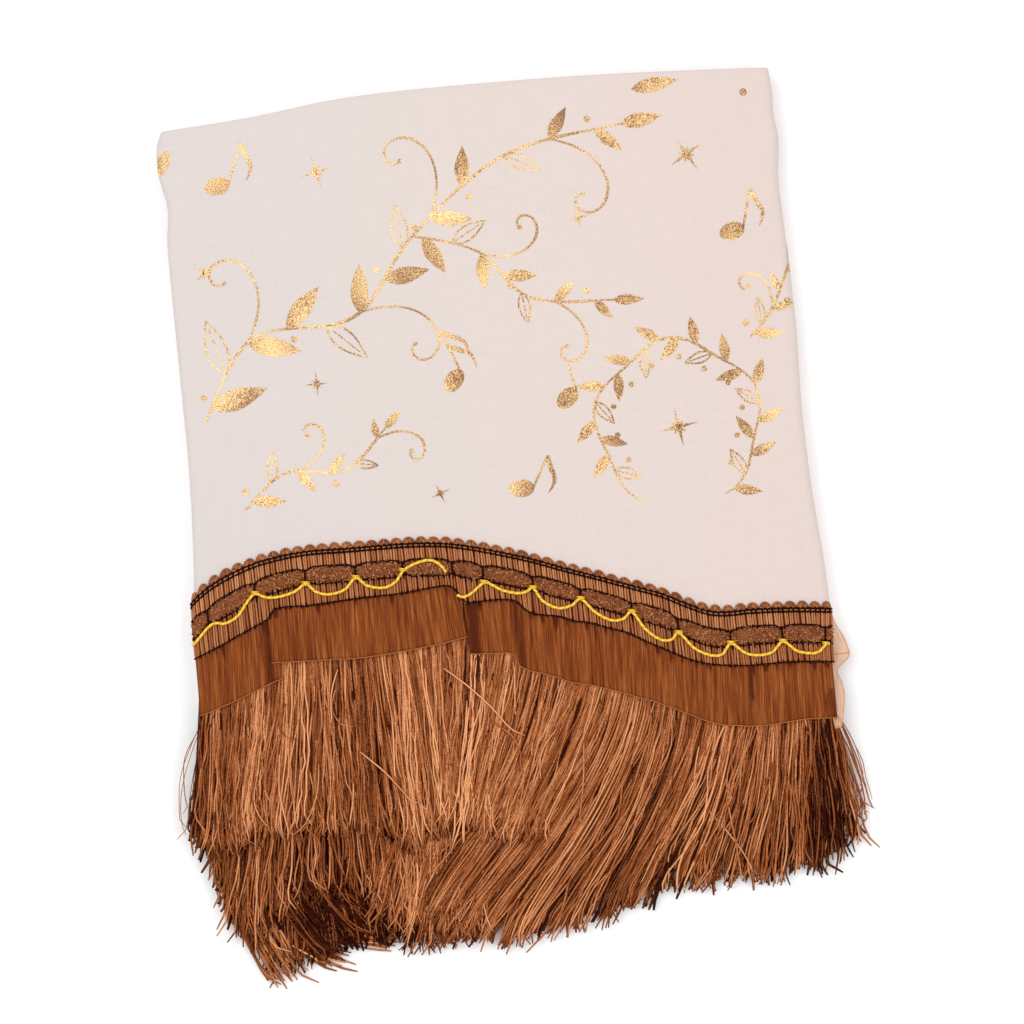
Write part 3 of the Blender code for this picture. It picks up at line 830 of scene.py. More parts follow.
@dataclass
class Bundle:
    """Round cords collected as open curves, which become one mesh."""

    sides: int = 6
    lines: list = field(default_factory=list)

    def add(self, points: Sequence[Vector], radius: float | Sequence[float],
            tone: float | Sequence[float]) -> None:
        """Add one cord.

        Args:
            points: Points down its middle.
            radius: One radius, or one for each point.
            tone: One tone from dark 0 to light 1, or one for each point.
        """
        count = len(points)
        radii = [radius] * count if isinstance(radius, float) else list(radius)
        tones = [tone] * count if isinstance(tone, (int, float)) else list(tone)
        self.lines.append((points, radii, tones))

    def data(self) -> bpy.types.Mesh:
        """Turn the cords into one mesh that keeps each point's tone and its distance along."""
        curve = bpy.data.curves.new("cords", "CURVE")
        curve.dimensions = "3D"
        curve.bevel_depth = MM
        curve.bevel_resolution = (self.sides - 4) // 2
        tone_list, run_list = [], []
        for points, radii, tones in self.lines:
            spline = curve.splines.new("POLY")
            spline.points.add(len(points) - 1)
            flat = np.ones((len(points), 4), dtype=np.float32)
            flat[:, :3] = [tuple(point) for point in points]
            spline.points.foreach_set("co", flat.ravel())
            spline.points.foreach_set("radius", np.asarray(radii, dtype=np.float32) / MM)
            steps = np.linalg.norm(np.diff(flat[:, :3], axis=0), axis=1)
            runs = np.concatenate(([0.0], np.cumsum(steps)))
            tone_list.append(np.asarray(tones, dtype=np.float32))
            run_list.append(runs.astype(np.float32))
        carrier = bpy.data.objects.new("cords", curve)
        data = bpy.data.meshes.new_from_object(carrier)
        bpy.data.objects.remove(carrier)
        bpy.data.curves.remove(curve)
        tones, runs = np.concatenate(tone_list), np.concatenate(run_list)
        around = len(data.vertices) // len(tones)
        if around * len(tones) != len(data.vertices):
            raise ValueError("the cords' points aren't in whole rings")
        keep_number(data, "tone", np.repeat(tones, around))
        keep_number(data, "run", np.repeat(runs, around))
        mesh = bmesh.new()
        mesh.from_mesh(data)
        ends = [edge for edge in mesh.edges if edge.is_boundary]
        bmesh.ops.holes_fill(mesh, edges=ends, sides=around)
        mesh.to_mesh(data)
        mesh.free()
        return data


@dataclass
class Cloth:
    """The cream cloth as one thin sheet through all its passes and folds."""

    stack: Stack = STACK
    bend_steps: int = 8
    back_steps: int = 6
    layer_steps: int = 44
    flat: tuple[float, float] = (0.63, 2.00)

    def layer_rows(self) -> list[tuple[float, float, float]]:
        """List places round the back fold as layer side, share from the front, and reach."""
        steps = self.layer_steps
        rows = [(1.0, step / steps, 0.0) for step in range(steps)]
        for step in range(self.back_steps + 1):
            angle = math.pi * step / self.back_steps
            rows.append((math.cos(angle), 1.0, math.sin(angle)))
        rows += [(-1.0, 1.0 - step / steps, 0.0) for step in range(1, steps + 1)]
        return rows

    def place_y(self, front: float, across: float, row: tuple[float, float, float]) -> float:
        """Give the y of one place round the back fold."""
        side, share, reach = row
        stack = self.stack
        x = mix(stack.back_left, stack.back_right, across)
        back = stack.back.at(x) - stack.cad_thickness / 2 - stack.layer_offset
        if side < 0:
            front += stack.under_shorter
        return mix(front, back, share) + reach * stack.layer_offset

    def pass_columns(self, index: int) -> list[list[Vector]]:
        """Make the columns of one pass, each a list of points round the back fold."""
        stack, row = self.stack, self.stack.passes[index]
        columns = []
        for step in range(row.steps + 1):
            share = step / row.steps
            across = share if row.heading > 0 else 1 - share
            front = stack.front_edge(index, across)
            column = []
            for layer_row in self.layer_rows():
                y = self.place_y(front, across, layer_row)
                left, right = stack.pass_ends(index, y)
                side = row.heading * layer_row[0]
                x = mix(left, right, across)
                point = stack.swell(Vector((x, y, stack.level(row.level) + side * stack.layer_offset)))
                if row.level == TOP_LEVEL:
                    point.z += stack.relief(x, y) * clamp((side + 1) / 2)
                column.append(point)
            columns.append(column)
        return columns

    def fold_columns(self, index: int) -> list[list[Vector]]:
        """Make the columns between two passes, round the fold that joins them."""
        stack = self.stack
        first, second = stack.passes[index], stack.passes[index + 1]
        side = stack.folds[index].side
        across = 0.0 if side is Side.LEFT else 1.0
        starts_high = 1 if first.level > second.level else -1
        outward = first.heading * starts_high
        middle = (stack.level(first.level) + stack.level(second.level)) / 2
        columns = []
        for step in range(1, self.bend_steps):
            share = step / self.bend_steps
            angle = math.pi * share
            front = mix(stack.front_edge(index, across), stack.front_edge(index + 1, across), share)
            column = []
            for layer_row in self.layer_rows():
                y = self.place_y(front, across, layer_row)
                reach = stack.radius(index) + outward * layer_row[0] * stack.layer_offset
                x = stack.fold_centre(index, y) + side.value * reach * math.sin(angle)
                z = middle + starts_high * reach * math.cos(angle)
                column.append(stack.swell(Vector((x, y, z))))
            columns.append(column)
        return columns

    def build(self) -> bpy.types.Object:
        columns = []
        for index in range(len(self.stack.passes)):
            columns += self.pass_columns(index)
            if index < len(self.stack.folds):
                columns += self.fold_columns(index)
        mesh = sheet_mesh(columns)
        map_sheet(mesh, (self.flat[1], self.flat[0]))
        piece = put_in_scene("cloth_sheet", to_data(mesh), ClothFinish().material(), ("cloth",))
        thicken(piece, self.stack.sheet_thickness)
        return piece


def go(spot: Spot, angle: float, along: float, out: float = 0.0) -> Spot:
    """Go from a spot along a direction in degrees, and out to its right."""
    direction = math.radians(angle)
    ahead = (math.cos(direction), math.sin(direction))
    return spot[0] + ahead[0] * along + ahead[1] * out, spot[1] + ahead[1] * along - ahead[0] * out


def straight(start: Spot, end: Spot, steps: int, reach: float = 1.0) -> list[Spot]:
    """List even spots on the line between two, as far as a share of it."""
    shares = [reach * step / steps for step in range(steps + 1)]
    return [(mix(start[0], end[0], share), mix(start[1], end[1], share)) for share in shares]


def bearing(start: Spot, end: Spot) -> float:
    """Give the direction from one spot to another in degrees."""
    return math.degrees(math.atan2(end[1] - start[1], end[0] - start[0]))


class Swell(Enum):
    """How a stroke's width changes from its start to its end."""

    STEM = "stem"
    LEAF = "leaf"
    DOT = "dot"
    RAY = "ray"
    FLAG = "flag"

    def width(self, share: float) -> float:
        """Give the share of its full width that a stroke has at a share of its length."""
        if self is Swell.STEM:
            ends = math.sin(math.pi * clamp(share, 0.02, 0.98))
            return 0.55 + 0.45 * ends ** 0.5 + 0.12 * math.sin(share * 17)
        if self is Swell.LEAF:
            return math.sin(math.pi * share ** 0.8)
        if self is Swell.DOT:
            return math.sin(math.pi * share)
        if self is Swell.RAY:
            return (1 - share) ** 1.4
        return math.sin(math.pi * (0.25 + 0.75 * share)) ** 0.9 if share < 0.999 else 0.0


@dataclass(frozen=True)
class Stroke:
    """One stroke of the print: points in millimetres, its width, and how it swells."""

    points: Sequence[Spot]
    width: float
    swell: Swell = Swell.STEM


@dataclass
class Print:
    """A gold foil print of leafy sprays, a wreath, small stars and plain notes."""

    stack: Stack = STACK
    lift: float = 0.00012
    strokes: list[Stroke] = field(default_factory=list)

    @staticmethod
    def curve(points: Sequence[Spot], steps: int) -> list[Spot]:
        """Draw a smooth line through a few points."""
        result = []
        for index in range(len(points) - 1):
            before = points[max(index - 1, 0)]
            start, end = points[index], points[index + 1]
            after = points[min(index + 2, len(points) - 1)]
            for step in range(steps):
                t = step / steps
                spot = []
                for axis in (0, 1):
                    a, b, c, d = before[axis], start[axis], end[axis], after[axis]
                    spot.append(0.5 * (2 * b + (c - a) * t + (2 * a - 5 * b + 4 * c - d) * t * t
                                       + (3 * b - a - 3 * c + d) * t * t * t))
                result.append((spot[0], spot[1]))
        result.append(tuple(points[-1]))
        return result

    def leaf(self, base: Spot, angle: float, length: float, width: float, open_leaf: bool = False) -> None:
        """Add a pointed leaf, filled or drawn as two curved lines.

        Args:
            base: Where it leaves its stem.
            angle: Its direction in degrees.
            length: Its length.
            width: Its width.
            open_leaf: Whether it is drawn as an outline with a midrib.
        """
        tip = go(base, angle, length)
        if not open_leaf:
            self.strokes.append(Stroke(straight(base, tip, 8), width, Swell.LEAF))
            return
        for side in (1, -1):
            line = []
            for step in range(11):
                share = step / 10
                bow = math.sin(math.pi * share ** 0.8) * width / 2 * side
                line.append(go(base, angle, length * share, bow))
            self.strokes.append(Stroke(line, 1.0))
        self.strokes.append(Stroke(straight(base, tip, 6, 0.85), 0.7))

    def curl(self, base: Spot, angle: float, size: float, hand: int, width: float = 1.3) -> None:
        """Add a tendril that rolls up at its end."""
        x, y = base
        heading = math.radians(angle)
        line = [(x, y)]
        steps = 34
        for step in range(steps):
            share = step / steps
            heading += hand * mix(0.06, 0.36, share ** 1.5)
            stride = size * mix(0.085, 0.028, share)
            x += math.cos(heading) * stride
            y += math.sin(heading) * stride
            line.append((x, y))
        self.strokes.append(Stroke(line, width))
        self.dot((x, y), width * 1.9)

    def dot(self, centre: Spot, size: float, stretch: float = 1.0, angle: float = 0.0) -> None:
        """Add a round or oval spot."""
        half = size * stretch / 2
        line = [go(centre, angle, -half * math.cos(math.pi * step / 12)) for step in range(13)]
        self.strokes.append(Stroke(line, size, Swell.DOT))

    def star(self, centre: Spot, size: float, turn: float = 0.0) -> None:
        """Add a star of four long and four short rays."""
        for ray in range(8):
            tip = go(centre, turn + 45 * ray, size if ray % 2 == 0 else size * 0.45)
            self.strokes.append(Stroke(straight(centre, tip, 4), size * 0.28, Swell.RAY))

    def note(self, head: Spot, angle: float, stem: float, flags: int) -> None:
        """Add a plain note: an oval head, a stem and its flags.

        Args:
            head: Centre of the head.
            angle: Direction of the stem in degrees.
            stem: Length of the stem.
            flags: Number of flags.
        """
        self.dot(head, 9.5, 1.45, angle - 62)
        foot = go(head, angle, 2.0, 5.6)
        tip = go(foot, angle, stem)
        self.strokes.append(Stroke(self.curve((foot, tip), 8), 1.3))
        for flag in range(flags):
            root = go(tip, angle, -8.0 * flag)
            bends = ((0.0, 0.0), (-5.0, 4.0), (-11.0, 9.0), (-19.0, 8.5))
            line = [go(root, angle, along, out) for along, out in bends]
            self.strokes.append(Stroke(self.curve(line, 6), 2.6, Swell.FLAG))

    def spray(self, points: Sequence[Spot], leaves: int, size: float, width: float = 1.5) -> None:
        """Add a stem with leaves on both sides in turn, and tendrils between them.

        Args:
            points: A few points of its stem.
            leaves: Number of leaves.
            size: Length of the largest leaf.
            width: Width of the stem.
        """
        line = self.curve(points, 14)
        self.strokes.append(Stroke(line, width))
        for index in range(leaves):
            share = (index + 0.6) / leaves
            spot = int(share * (len(line) - 2))
            here = line[spot]
            heading = bearing(here, line[spot + 1])
            side = 1 if index % 2 else -1
            length = size * (1.0 - 0.45 * share)
            self.leaf(here, heading + side * 48, length, length * 0.36, index % 3 == 1)
            if index % 3 == 2:
                self.curl(here, heading - side * 20, size * 1.25, -side)
            if index % 3 == 0:
                self.dot((here[0] + side * 3.5, here[1] - side * 6.0), 3.6)
        self.leaf(line[-1], bearing(line[-4], line[-1]), size * 0.7, size * 0.24)

    def wreath(self, centre: Spot, radius: float) -> None:
        """Add an open wreath of small leaves with berries."""
        ring = []
        for step in range(49):
            angle = math.radians(-62 + 304 * step / 48)
            wave = radius + 2.4 * math.sin(angle * 5)
            ring.append((centre[0] + math.cos(angle) * wave, centre[1] + math.sin(angle) * wave))
        self.strokes.append(Stroke(ring, 1.4))
        for index in range(22):
            spot = 1 + index * 2
            here = ring[spot]
            heading = bearing(here, ring[spot + 1])
            side = 1 if index % 2 else -1
            self.leaf(here, heading + side * 52, 15.5, 5.6, index % 4 == 1)
            if index % 2:
                self.dot((mix(here[0], centre[0], 0.22), mix(here[1], centre[1], 0.22)), 3.0)

    def draw(self) -> None:
        """Lay out the whole print."""
        self.spray((
            (-148.0, 70.0), (-118.0, 112.0), (-62.0, 118.0), (-26.0, 158.0), (28.0, 196.0), (92.0, 206.0),
        ), 13, 33.0, 1.7)
        self.spray(((-26.0, 158.0), (8.0, 146.0), (34.0, 118.0), (78.0, 112.0)), 7, 24.0)
        self.wreath((106.0, 42.0), 44.0)
        self.spray(((-132.0, 20.0), (-108.0, 38.0), (-76.0, 36.0), (-52.0, 56.0)), 6, 19.0)
        for head, angle, stem, flags in (
            ((-128.0, 196.0), 68.0, 24.0, 1), ((-12.0, 78.0), 112.0, 25.0, 2),
            ((146.0, 142.0), 74.0, 22.0, 1), ((18.0, 16.0), 60.0, 20.0, 1), ((48.0, 62.0), 100.0, 15.0, 0),
        ):
            self.note(head, angle, stem, flags)
        for centre, size, turn in (
            ((-74.0, 198.0), 9.0, 12.0), ((126.0, 186.0), 10.5, 30.0), ((-86.0, 84.0), 7.0, 0.0),
            ((-26.0, 18.0), 6.0, 20.0), ((106.0, 40.0), 11.0, 8.0), ((-140.0, 150.0), 7.5, 40.0),
            ((64.0, 158.0), 6.5, 10.0),
        ):
            self.star(centre, size, turn)
        self.dot((160.0, 216.0), 4.0)
        self.spray(((150.0, 84.0), (163.0, 98.0), (176.0, 124.0)), 5, 17.0)
        self.leaf((100.0, 224.0), 6.0, 26.0, 8.0)
        self.leaf((-152.0, 218.0), 236.0, 20.0, 8.0)

    def ribbon(self, mesh: bmesh.types.BMesh, stroke: Stroke) -> None:
        """Lay one stroke on the cloth as a thin ribbon."""
        points = stroke.points
        last = len(points) - 1
        rows = 4 if stroke.width > 3 else 1
        made = bmesh.ops.create_grid(mesh, x_segments=last, y_segments=rows, size=1.0)["verts"]
        for vert in made:
            step = round((vert.co.x + 1) / 2 * last)
            cross = vert.co.y
            share = step / last
            before, after = points[max(step - 1, 0)], points[min(step + 1, last)]
            run = math.hypot(after[0] - before[0], after[1] - before[1]) or 1.0
            aside = (-(after[1] - before[1]) / run, (after[0] - before[0]) / run)
            half = stroke.width / 2 * stroke.swell.width(share)
            x, y = points[step][0] + aside[0] * half * cross, points[step][1] + aside[1] * half * cross
            vert.co = self.stack.cloth_top(x * MM, y * MM, self.lift)

    def build(self) -> bpy.types.Object:
        """Make the print as one piece."""
        self.draw()
        mesh = bmesh.new()
        for stroke in self.strokes:
            self.ribbon(mesh, stroke)
        bmesh.ops.remove_doubles(mesh, verts=mesh.verts, dist=1e-7)
        for face in mesh.faces:
            face.normal_update()
            if face.normal.z < 0:
                face.normal_flip()
            face.smooth = True
        return put_in_scene("foil_print", to_data(mesh), FoilFinish().material())


@dataclass
class Braid:
    """The gimp braid: picots, chain stitches, upright cords and curled pads."""

    stack: Stack = STACK
    start: float = -0.1697
    end: float = 0.1787
    picot_pitch: float = 0.0067
    picots: int = 52
    picot_half: float = 0.0031
    picot_rings: tuple[tuple[float, float, float], ...] = (
        (0.96, 0.00050, 0.0009), (0.62, 0.00055, 0.0013), (0.28, 0.00055, 0.0014),
    )
    base_thickness: float = 0.0005
    base_height: float = 0.0007
    pair_pitch: float = 0.0029
    curls: int = 1900
    joints: tuple[float, ...] = (
        -158.0, -131.3, -103.4, -76.2, -50.5, -24.0, -7.7, 18.3, 43.3, 70.0, 94.0, 121.3, 149.3, 174.0,
    )
    seed: int = 5

    def line_y(self, along: float, share: float) -> float:
        """Give the y of a line that keeps a share of the band's even width."""
        return PICOT_TIPS.at(along) - BAND_WIDTH.at(along) * share

    def dip(self, along: float, depth: float, reach: float = 0.0030) -> float:
        """Give how far a line is pulled in beside the joints of the pads."""
        nearest = min(abs(along - joint * MM) for joint in self.joints)
        return depth * math.exp(-((nearest / reach) ** 2))

    def on(self, along: float, y: float, height: float) -> Vector:
        """Give a point on the braid at a height above the top cloth, drawn in at its two ends."""
        drawn = 0.0015 * ease((-0.157 - along) / 0.0125)
        drawn -= 0.0026 * ease((along - 0.160) / 0.0187) * ease((-0.058 - y) / 0.034)
        return self.stack.cloth_top(along + drawn, y, height)

    def pad_edges(self, along: float) -> tuple[float, float]:
        """Give the y of the pads' upper and lower edges."""
        upper = self.line_y(along, 0.385) - self.dip(along, 0.0014)
        lower = self.line_y(along, 0.680) + self.dip(along, 0.0016)
        return upper, max(lower, BRAID_FOOT.at(along) + 0.004)

    def places(self, pitch: float) -> list[float]:
        """List even places along the braid."""
        count = round((self.end - self.start) / pitch)
        return [mix(self.start, self.end, step / count) for step in range(count + 1)]

    def base(self) -> bpy.types.Object:
        """Make the ground under the cords, in a dark tone that stands as painted shade in the gaps between
        them.
        """
        columns = []
        for along in self.places(0.0028):
            top = self.line_y(along, 0.085)
            lines = [mix(top, BRAID_FOOT.at(along), row / 8) for row in range(9)]
            columns.append([self.on(along, y, self.base_height / 2) for y in lines])
        data = to_data(sheet_mesh(columns))
        # The ground's dark tone is painted shade for the gaps between the cords.
        keep_number(data, "tone", [0.02] * len(data.vertices))
        keep_number(data, "run", [0.0] * len(data.vertices))
        piece = put_in_scene("braid_shade_ground", data, BRAID_YARN.material(), ("braid",))
        thicken(piece, self.base_thickness)
        return piece

    def picot_loops(self, bundle: Bundle, rng: random.Random) -> None:
        """Add the round loops along the upper edge, each wound with short cords."""
        for index in range(self.picots):
            middle = self.start + (index + 0.5) * self.picot_pitch
            wide, tall = rng.uniform(0.90, 1.00), rng.uniform(0.92, 1.06)
            tone = rng.uniform(0.34, 0.50)
            root = self.line_y(middle, 0.105)
            rise = (PICOT_TIPS.at(middle) - root) * tall
            slope = (self.line_y(middle + 0.001, 0.105) - self.line_y(middle - 0.001, 0.105)) / 0.002
            for size, radius, height in self.picot_rings:
                points = []
                for step in range(9):
                    angle = math.pi * step / 8
                    across = -math.cos(angle) * self.picot_half * size * wide
                    y = root + slope * across + rise * math.sin(angle) * size
                    points.append(self.on(middle + across, y, height))
                bundle.add(points, radius, tone + rng.uniform(-0.06, 0.06))
            for spoke in range(7):
                angle = math.pi * (spoke + 0.5) / 7
                points = []
                for reach in (0.30, 0.62, 0.92, 1.02):
                    across = -math.cos(angle) * self.picot_half * reach * wide
                    y = root + slope * across + rise * math.sin(angle) * reach
                    points.append(self.on(middle + across, y, mix(0.0021, 0.0010, reach ** 3)))
                bundle.add(points, 0.00032, tone + rng.uniform(-0.10, 0.36))

    def upright_cords(self, bundle: Bundle, rng: random.Random) -> list[float]:
        """Add the pairs of upright cords above the pads and below them.

        Args:
            bundle: Where the cords go.
            rng: Source of their unevenness.

        Returns:
            The places of the gaps between the pairs.
        """
        gaps = []
        for along in self.places(self.pair_pitch):
            along += rng.uniform(-0.0003, 0.0003)
            gaps.append(along + self.pair_pitch / 2)
            for side in (-1, 1):
                x = along + side * 0.00062
                if not self.start <= x <= self.end:
                    continue
                tone = rng.uniform(0.48, 0.78)
                upper, lower = self.pad_edges(x)
                lean = rng.uniform(-0.0003, 0.0003)
                top = self.line_y(x, 0.105)
                radius = rng.uniform(0.00060, 0.00070)
                bundle.add(self.rib(x, top, upper - 0.0006, lean), radius, tone)
                foot = BRAID_FOOT.at(x)
                if lower - foot > 0.002:
                    fan = self.dip(x, 1.0, 0.007) * rng.uniform(-0.0006, 0.0006)
                    bundle.add(self.rib(x, lower + 0.0004, foot - 0.0003, lean + fan), radius, tone - 0.10)
        return gaps

    def rib(self, x: float, top: float, bottom: float, lean: float) -> list[Vector]:
        """Give the points of one upright cord."""
        points = []
        for step in range(7):
            share = step / 6
            height = 0.0010 + 0.0003 * math.sin(math.pi * share)
            points.append(self.on(x + lean * share, mix(top, bottom, share), height))
        return points

    def pads(self) -> bpy.types.Object:
        """Make the body of the lens-shaped pads, pinched at their joints."""
        rows = 10
        columns = []
        for along in self.places(0.0011):
            upper, lower = self.pad_edges(along)
            column = []
            for row in range(rows + 1):
                share = row / rows
                height = 0.0007 + self.crown(along, share) * 0.9
                column.append(self.on(along, mix(upper + 0.0003, lower - 0.0003, share), height))
            columns.append(column)
        data = to_data(sheet_mesh(columns))
        keep_number(data, "tone", [0.30] * len(data.vertices))
        keep_number(data, "run", [0.0] * len(data.vertices))
        return put_in_scene("braid_pads", data, BRAID_YARN.material())

    def crown(self, along: float, share: float) -> float:
        """Give how high the pads swell at a share of their width."""
        nearest = min(abs(along - joint * MM) for joint in self.joints)
        pinch = 1 - math.exp(-((nearest / 0.0028) ** 2))
        return math.sqrt(max(math.sin(math.pi * share), 0.0)) * (0.0003 + 0.0011 * pinch)

    def pad_curls(self) -> bpy.types.Object:
        """Cover the pads with small curls of yarn."""
        rng = random.Random(self.seed + 2)
        bundle = Bundle(sides=4)
        for _ in range(self.curls):
            along = rng.uniform(self.start, self.end)
            share = rng.uniform(0.04, 0.96)
            upper, lower = self.pad_edges(along)
            if min(abs(along - joint * MM) for joint in self.joints) < 0.0006:
                continue
            y = mix(upper, lower, share)
            height = 0.0008 + self.crown(along, share)
            turn = rng.uniform(0, TURN)
            bow = rng.uniform(1.3, 2.8)
            size = rng.uniform(0.00070, 0.00120)
            points = []
            for step in range(5):
                angle = turn + bow * step / 4
                rise = 0.00035 * math.sin(math.pi * step / 4) + 0.0001
                x = along + math.cos(angle) * size
                points.append(self.on(x, y + math.sin(angle) * size, height + rise))
            bundle.add(points, rng.uniform(0.00028, 0.00038), rng.uniform(0.26, 0.78))
        return put_in_scene("braid_curls", bundle.data(), BRAID_YARN.material())

    def chain(self, bundle: Bundle, line: Callable[[float], float], height: float, radius: float,
              rng: random.Random) -> None:
        """Add one line of dark chain stitches, each a little swollen."""
        places = self.places(0.0009)
        points = [self.on(x, line(x) + rng.uniform(-0.00006, 0.00006), height) for x in places]
        radii = [radius * (1.0 + 0.34 * math.sin(step * 1.9)) for step in range(len(places))]
        bundle.add(points, radii, 0.3)

    def tick(self, bundle: Bundle, x: float, top: float, bottom: float, height: float, radius: float) -> None:
        """Add one upright dark mark: a stitch, or painted shade in a gap."""
        points = []
        for step in range(5):
            share = step / 4
            points.append(self.on(x, mix(top, bottom, share), height + 0.00035 * math.sin(math.pi * share)))
        bundle.add(points, radius, 0.25)

    def stitches(self, gaps: Sequence[float]) -> bpy.types.Object:
        """Make the dark chain stitches, the upright dark marks in the gaps, which are painted shade, and the
        stitches at the pads' joints.

        Args:
            gaps: Places of the gaps between the upright cords.

        Returns:
            The stitches as one piece.
        """
        rng = random.Random(self.seed + 1)
        bundle = Bundle(sides=4)
        for line, height, radius in (
            (lambda x: self.line_y(x, 0.110), 0.0020, 0.00054),
            (lambda x: self.line_y(x, 0.168), 0.0019, 0.00052),
            (lambda x: self.pad_edges(x)[0], 0.0019, 0.00048),
            (lambda x: self.pad_edges(x)[1], 0.0018, 0.00048),
            (lambda x: BRAID_FOOT.at(x) + 0.0002, 0.0017, 0.00044),
        ):
            self.chain(bundle, line, height, radius, rng)
        # The upright dark marks in the gaps between the cord pairs are painted shade between the ribs and in
        # the gathers below the foot.
        for x in gaps:
            if not self.start < x < self.end:
                continue
            upper, lower = self.pad_edges(x)
            first, second, foot = self.line_y(x, 0.095), self.line_y(x, 0.172), BRAID_FOOT.at(x)
            self.tick(bundle, x, first, second - 0.0006, 0.0019, 0.00042)
            self.tick(bundle, x, upper + rng.uniform(0.0002, 0.0010), upper - 0.0012, 0.0017, 0.00034)
            self.tick(bundle, x, lower + 0.0016, lower - rng.uniform(0.0008, 0.0024), 0.0018, 0.00036)
            if rng.random() < 0.45:
                self.tick(bundle, x, second, second - rng.uniform(0.0010, 0.0040), 0.0012, 0.00032)
            if rng.random() < 0.75:
                above, under = rng.uniform(0.0004, 0.0020), rng.uniform(0.0002, 0.0012)
                self.tick(bundle, x, foot + above, foot - under, 0.0016, 0.00034)
        for joint in self.joints:
            x = joint * MM
            upper, lower = self.pad_edges(x)
            self.tick(bundle, x, upper + 0.0004, lower - 0.0002, 0.0018, 0.00046)
            self.tick(bundle, x + 0.0002, lower, lower - 0.0036, 0.0014, 0.00034)
        return put_in_scene("braid_stitches_and_gap_shade", bundle.data(), STITCH_YARN.material())

    def beads(self, bundle: Bundle, rng: random.Random) -> None:
        """Add the small light stitches that show between the two upper chain lines."""
        for x in self.places(0.00145):
            y = self.line_y(x, 0.140)
            slope = (self.line_y(x + 0.0005, 0.140) - self.line_y(x - 0.0005, 0.140)) / 0.001
            points = [self.on(x + d, y + slope * d, 0.0018) for d in (-0.00042, 0.0, 0.00042)]
            bundle.add(points, 0.00034, rng.uniform(0.5, 1.0))

    def build(self) -> list[bpy.types.Object]:
        """Make the whole braid."""
        rng = random.Random(self.seed)
        bundle = Bundle(sides=6)
        self.picot_loops(bundle, rng)
        gaps = self.upright_cords(bundle, rng)
        self.beads(bundle, rng)
        cords = put_in_scene("braid_cords", bundle.data(), BRAID_YARN.material())
        return [self.base(), cords, self.pads(), self.pad_curls(), self.stitches(gaps)]


@dataclass
class GoldCord:
    """The twisted gold cord that hangs in waves and is caught down at each joint."""

    braid: Braid
    plies: int = 3
    ply_radius: float = 0.00056
    ply_offset: float = 0.00036
    twist: float = 0.0036
    left_joints: tuple[float, ...] = (-131.3, -103.4, -76.2, -50.5)
    right_joints: tuple[float, ...] = (-7.7, 18.3, 43.3, 70.0, 94.0, 121.3, 149.3, 174.0)
    left_run: tuple[Spot, ...] = (
        (-169.7, -49.0), (-167.5, -47.8), (-156.2, -39.0), (-149.0, -39.2), (-142.0, -36.0), (-136.0, -29.0),
        (-131.3, -25.1), (-125.5, -27.6), (-118.6, -28.0), (-110.0, -26.2), (-103.4, -22.8), (-98.5, -27.4),
        (-91.7, -29.6), (-83.0, -28.0), (-76.2, -22.4), (-70.5, -27.2), (-61.7, -29.2), (-55.0, -26.6),
        (-50.5, -21.4), (-44.5, -18.4), (-36.5, -17.0), (-31.0, -19.4), (-27.4, -24.4),
    )
    right_run: tuple[Spot, ...] = (
        (-22.8, -37.4), (-19.8, -38.8), (-15.3, -37.4), (-7.7, -32.4), (-3.0, -34.4), (1.5, -37.4),
        (8.8, -39.8), (14.0, -39.8), (18.3, -38.2), (22.8, -45.6), (30.5, -50.3), (38.0, -49.6),
        (43.3, -46.8), (50.2, -54.6), (58.3, -59.9), (65.0, -59.8), (70.0, -56.8), (76.0, -66.4),
        (83.4, -73.0), (89.5, -73.8), (94.0, -70.8), (101.2, -79.6), (109.4, -84.4), (115.9, -84.6),
        (121.3, -79.4), (128.3, -85.2), (135.1, -87.2), (142.8, -86.4), (149.3, -81.4), (156.3, -87.2),
        (164.3, -89.3), (169.7, -88.6), (174.0, -85.4), (176.4, -85.2),
    )

    def route(self, knots: Sequence[Spot]) -> list[Vector]:
        """Give close points down the middle of a run of cord."""
        flat = Print.curve(knots, 12)
        return [self.braid.on(x * MM, y * MM, 0.0027) for x, y in flat]

    def twist_round(self, bundle: Bundle, route: list[Vector]) -> None:
        """Wind the plies round a route."""
        lengths = [0.0]
        for first, second in zip(route, route[1:]):
            lengths.append(lengths[-1] + (second - first).length)
        count = int(lengths[-1] / 0.00030)
        places, index = [], 0
        for step in range(count + 1):
            want = lengths[-1] * step / count
            while index < len(lengths) - 2 and want > lengths[index + 1]:
                index += 1
            share = (want - lengths[index]) / max(lengths[index + 1] - lengths[index], 1e-9)
            places.append((route[index].lerp(route[index + 1], share), route[index + 1] - route[index], want))
        for ply in range(self.plies):
            points = []
            for spot, run, want in places:
                ahead = run.normalized()
                aside = ahead.cross(Vector((0, 0, 1))).normalized()
                up = aside.cross(ahead)
                angle = TURN * (want / self.twist + ply / self.plies)
                points.append(spot + (aside * math.cos(angle) + up * math.sin(angle)) * self.ply_offset)
            bundle.add(points, self.ply_radius, (0.80, 0.62, 0.42)[ply])

    def catch_loop(self, bundle: Bundle, x: float, y: float) -> None:
        """Add the small loop that holds the cord at a joint."""
        for row in (0, 1):
            points = []
            for step in range(9):
                share = step / 8 * 2 - 1
                height = 0.0042 - 0.0022 * share * share
                line_y = (y + 0.4 + row * 0.8 - share * 0.4) * MM
                points.append(self.braid.on((x + share * 2.3) * MM, line_y, height))
            bundle.add(points, 0.00042, 0.66)

    def build(self) -> bpy.types.Object:
        """Make the cord with its loops."""
        bundle = Bundle(sides=6)
        for run in (self.left_run, self.right_run):
            self.twist_round(bundle, self.route(run))
        for run, joints in ((self.left_run, self.left_joints), (self.right_run, self.right_joints)):
            for joint in joints:
                self.catch_loop(bundle, joint, Profile(run).at(joint * MM) / MM)
        material = GOLD_YARN.material()
        return put_in_scene("gold_cord_twisted", bundle.data(), material, ("gold_cord",))


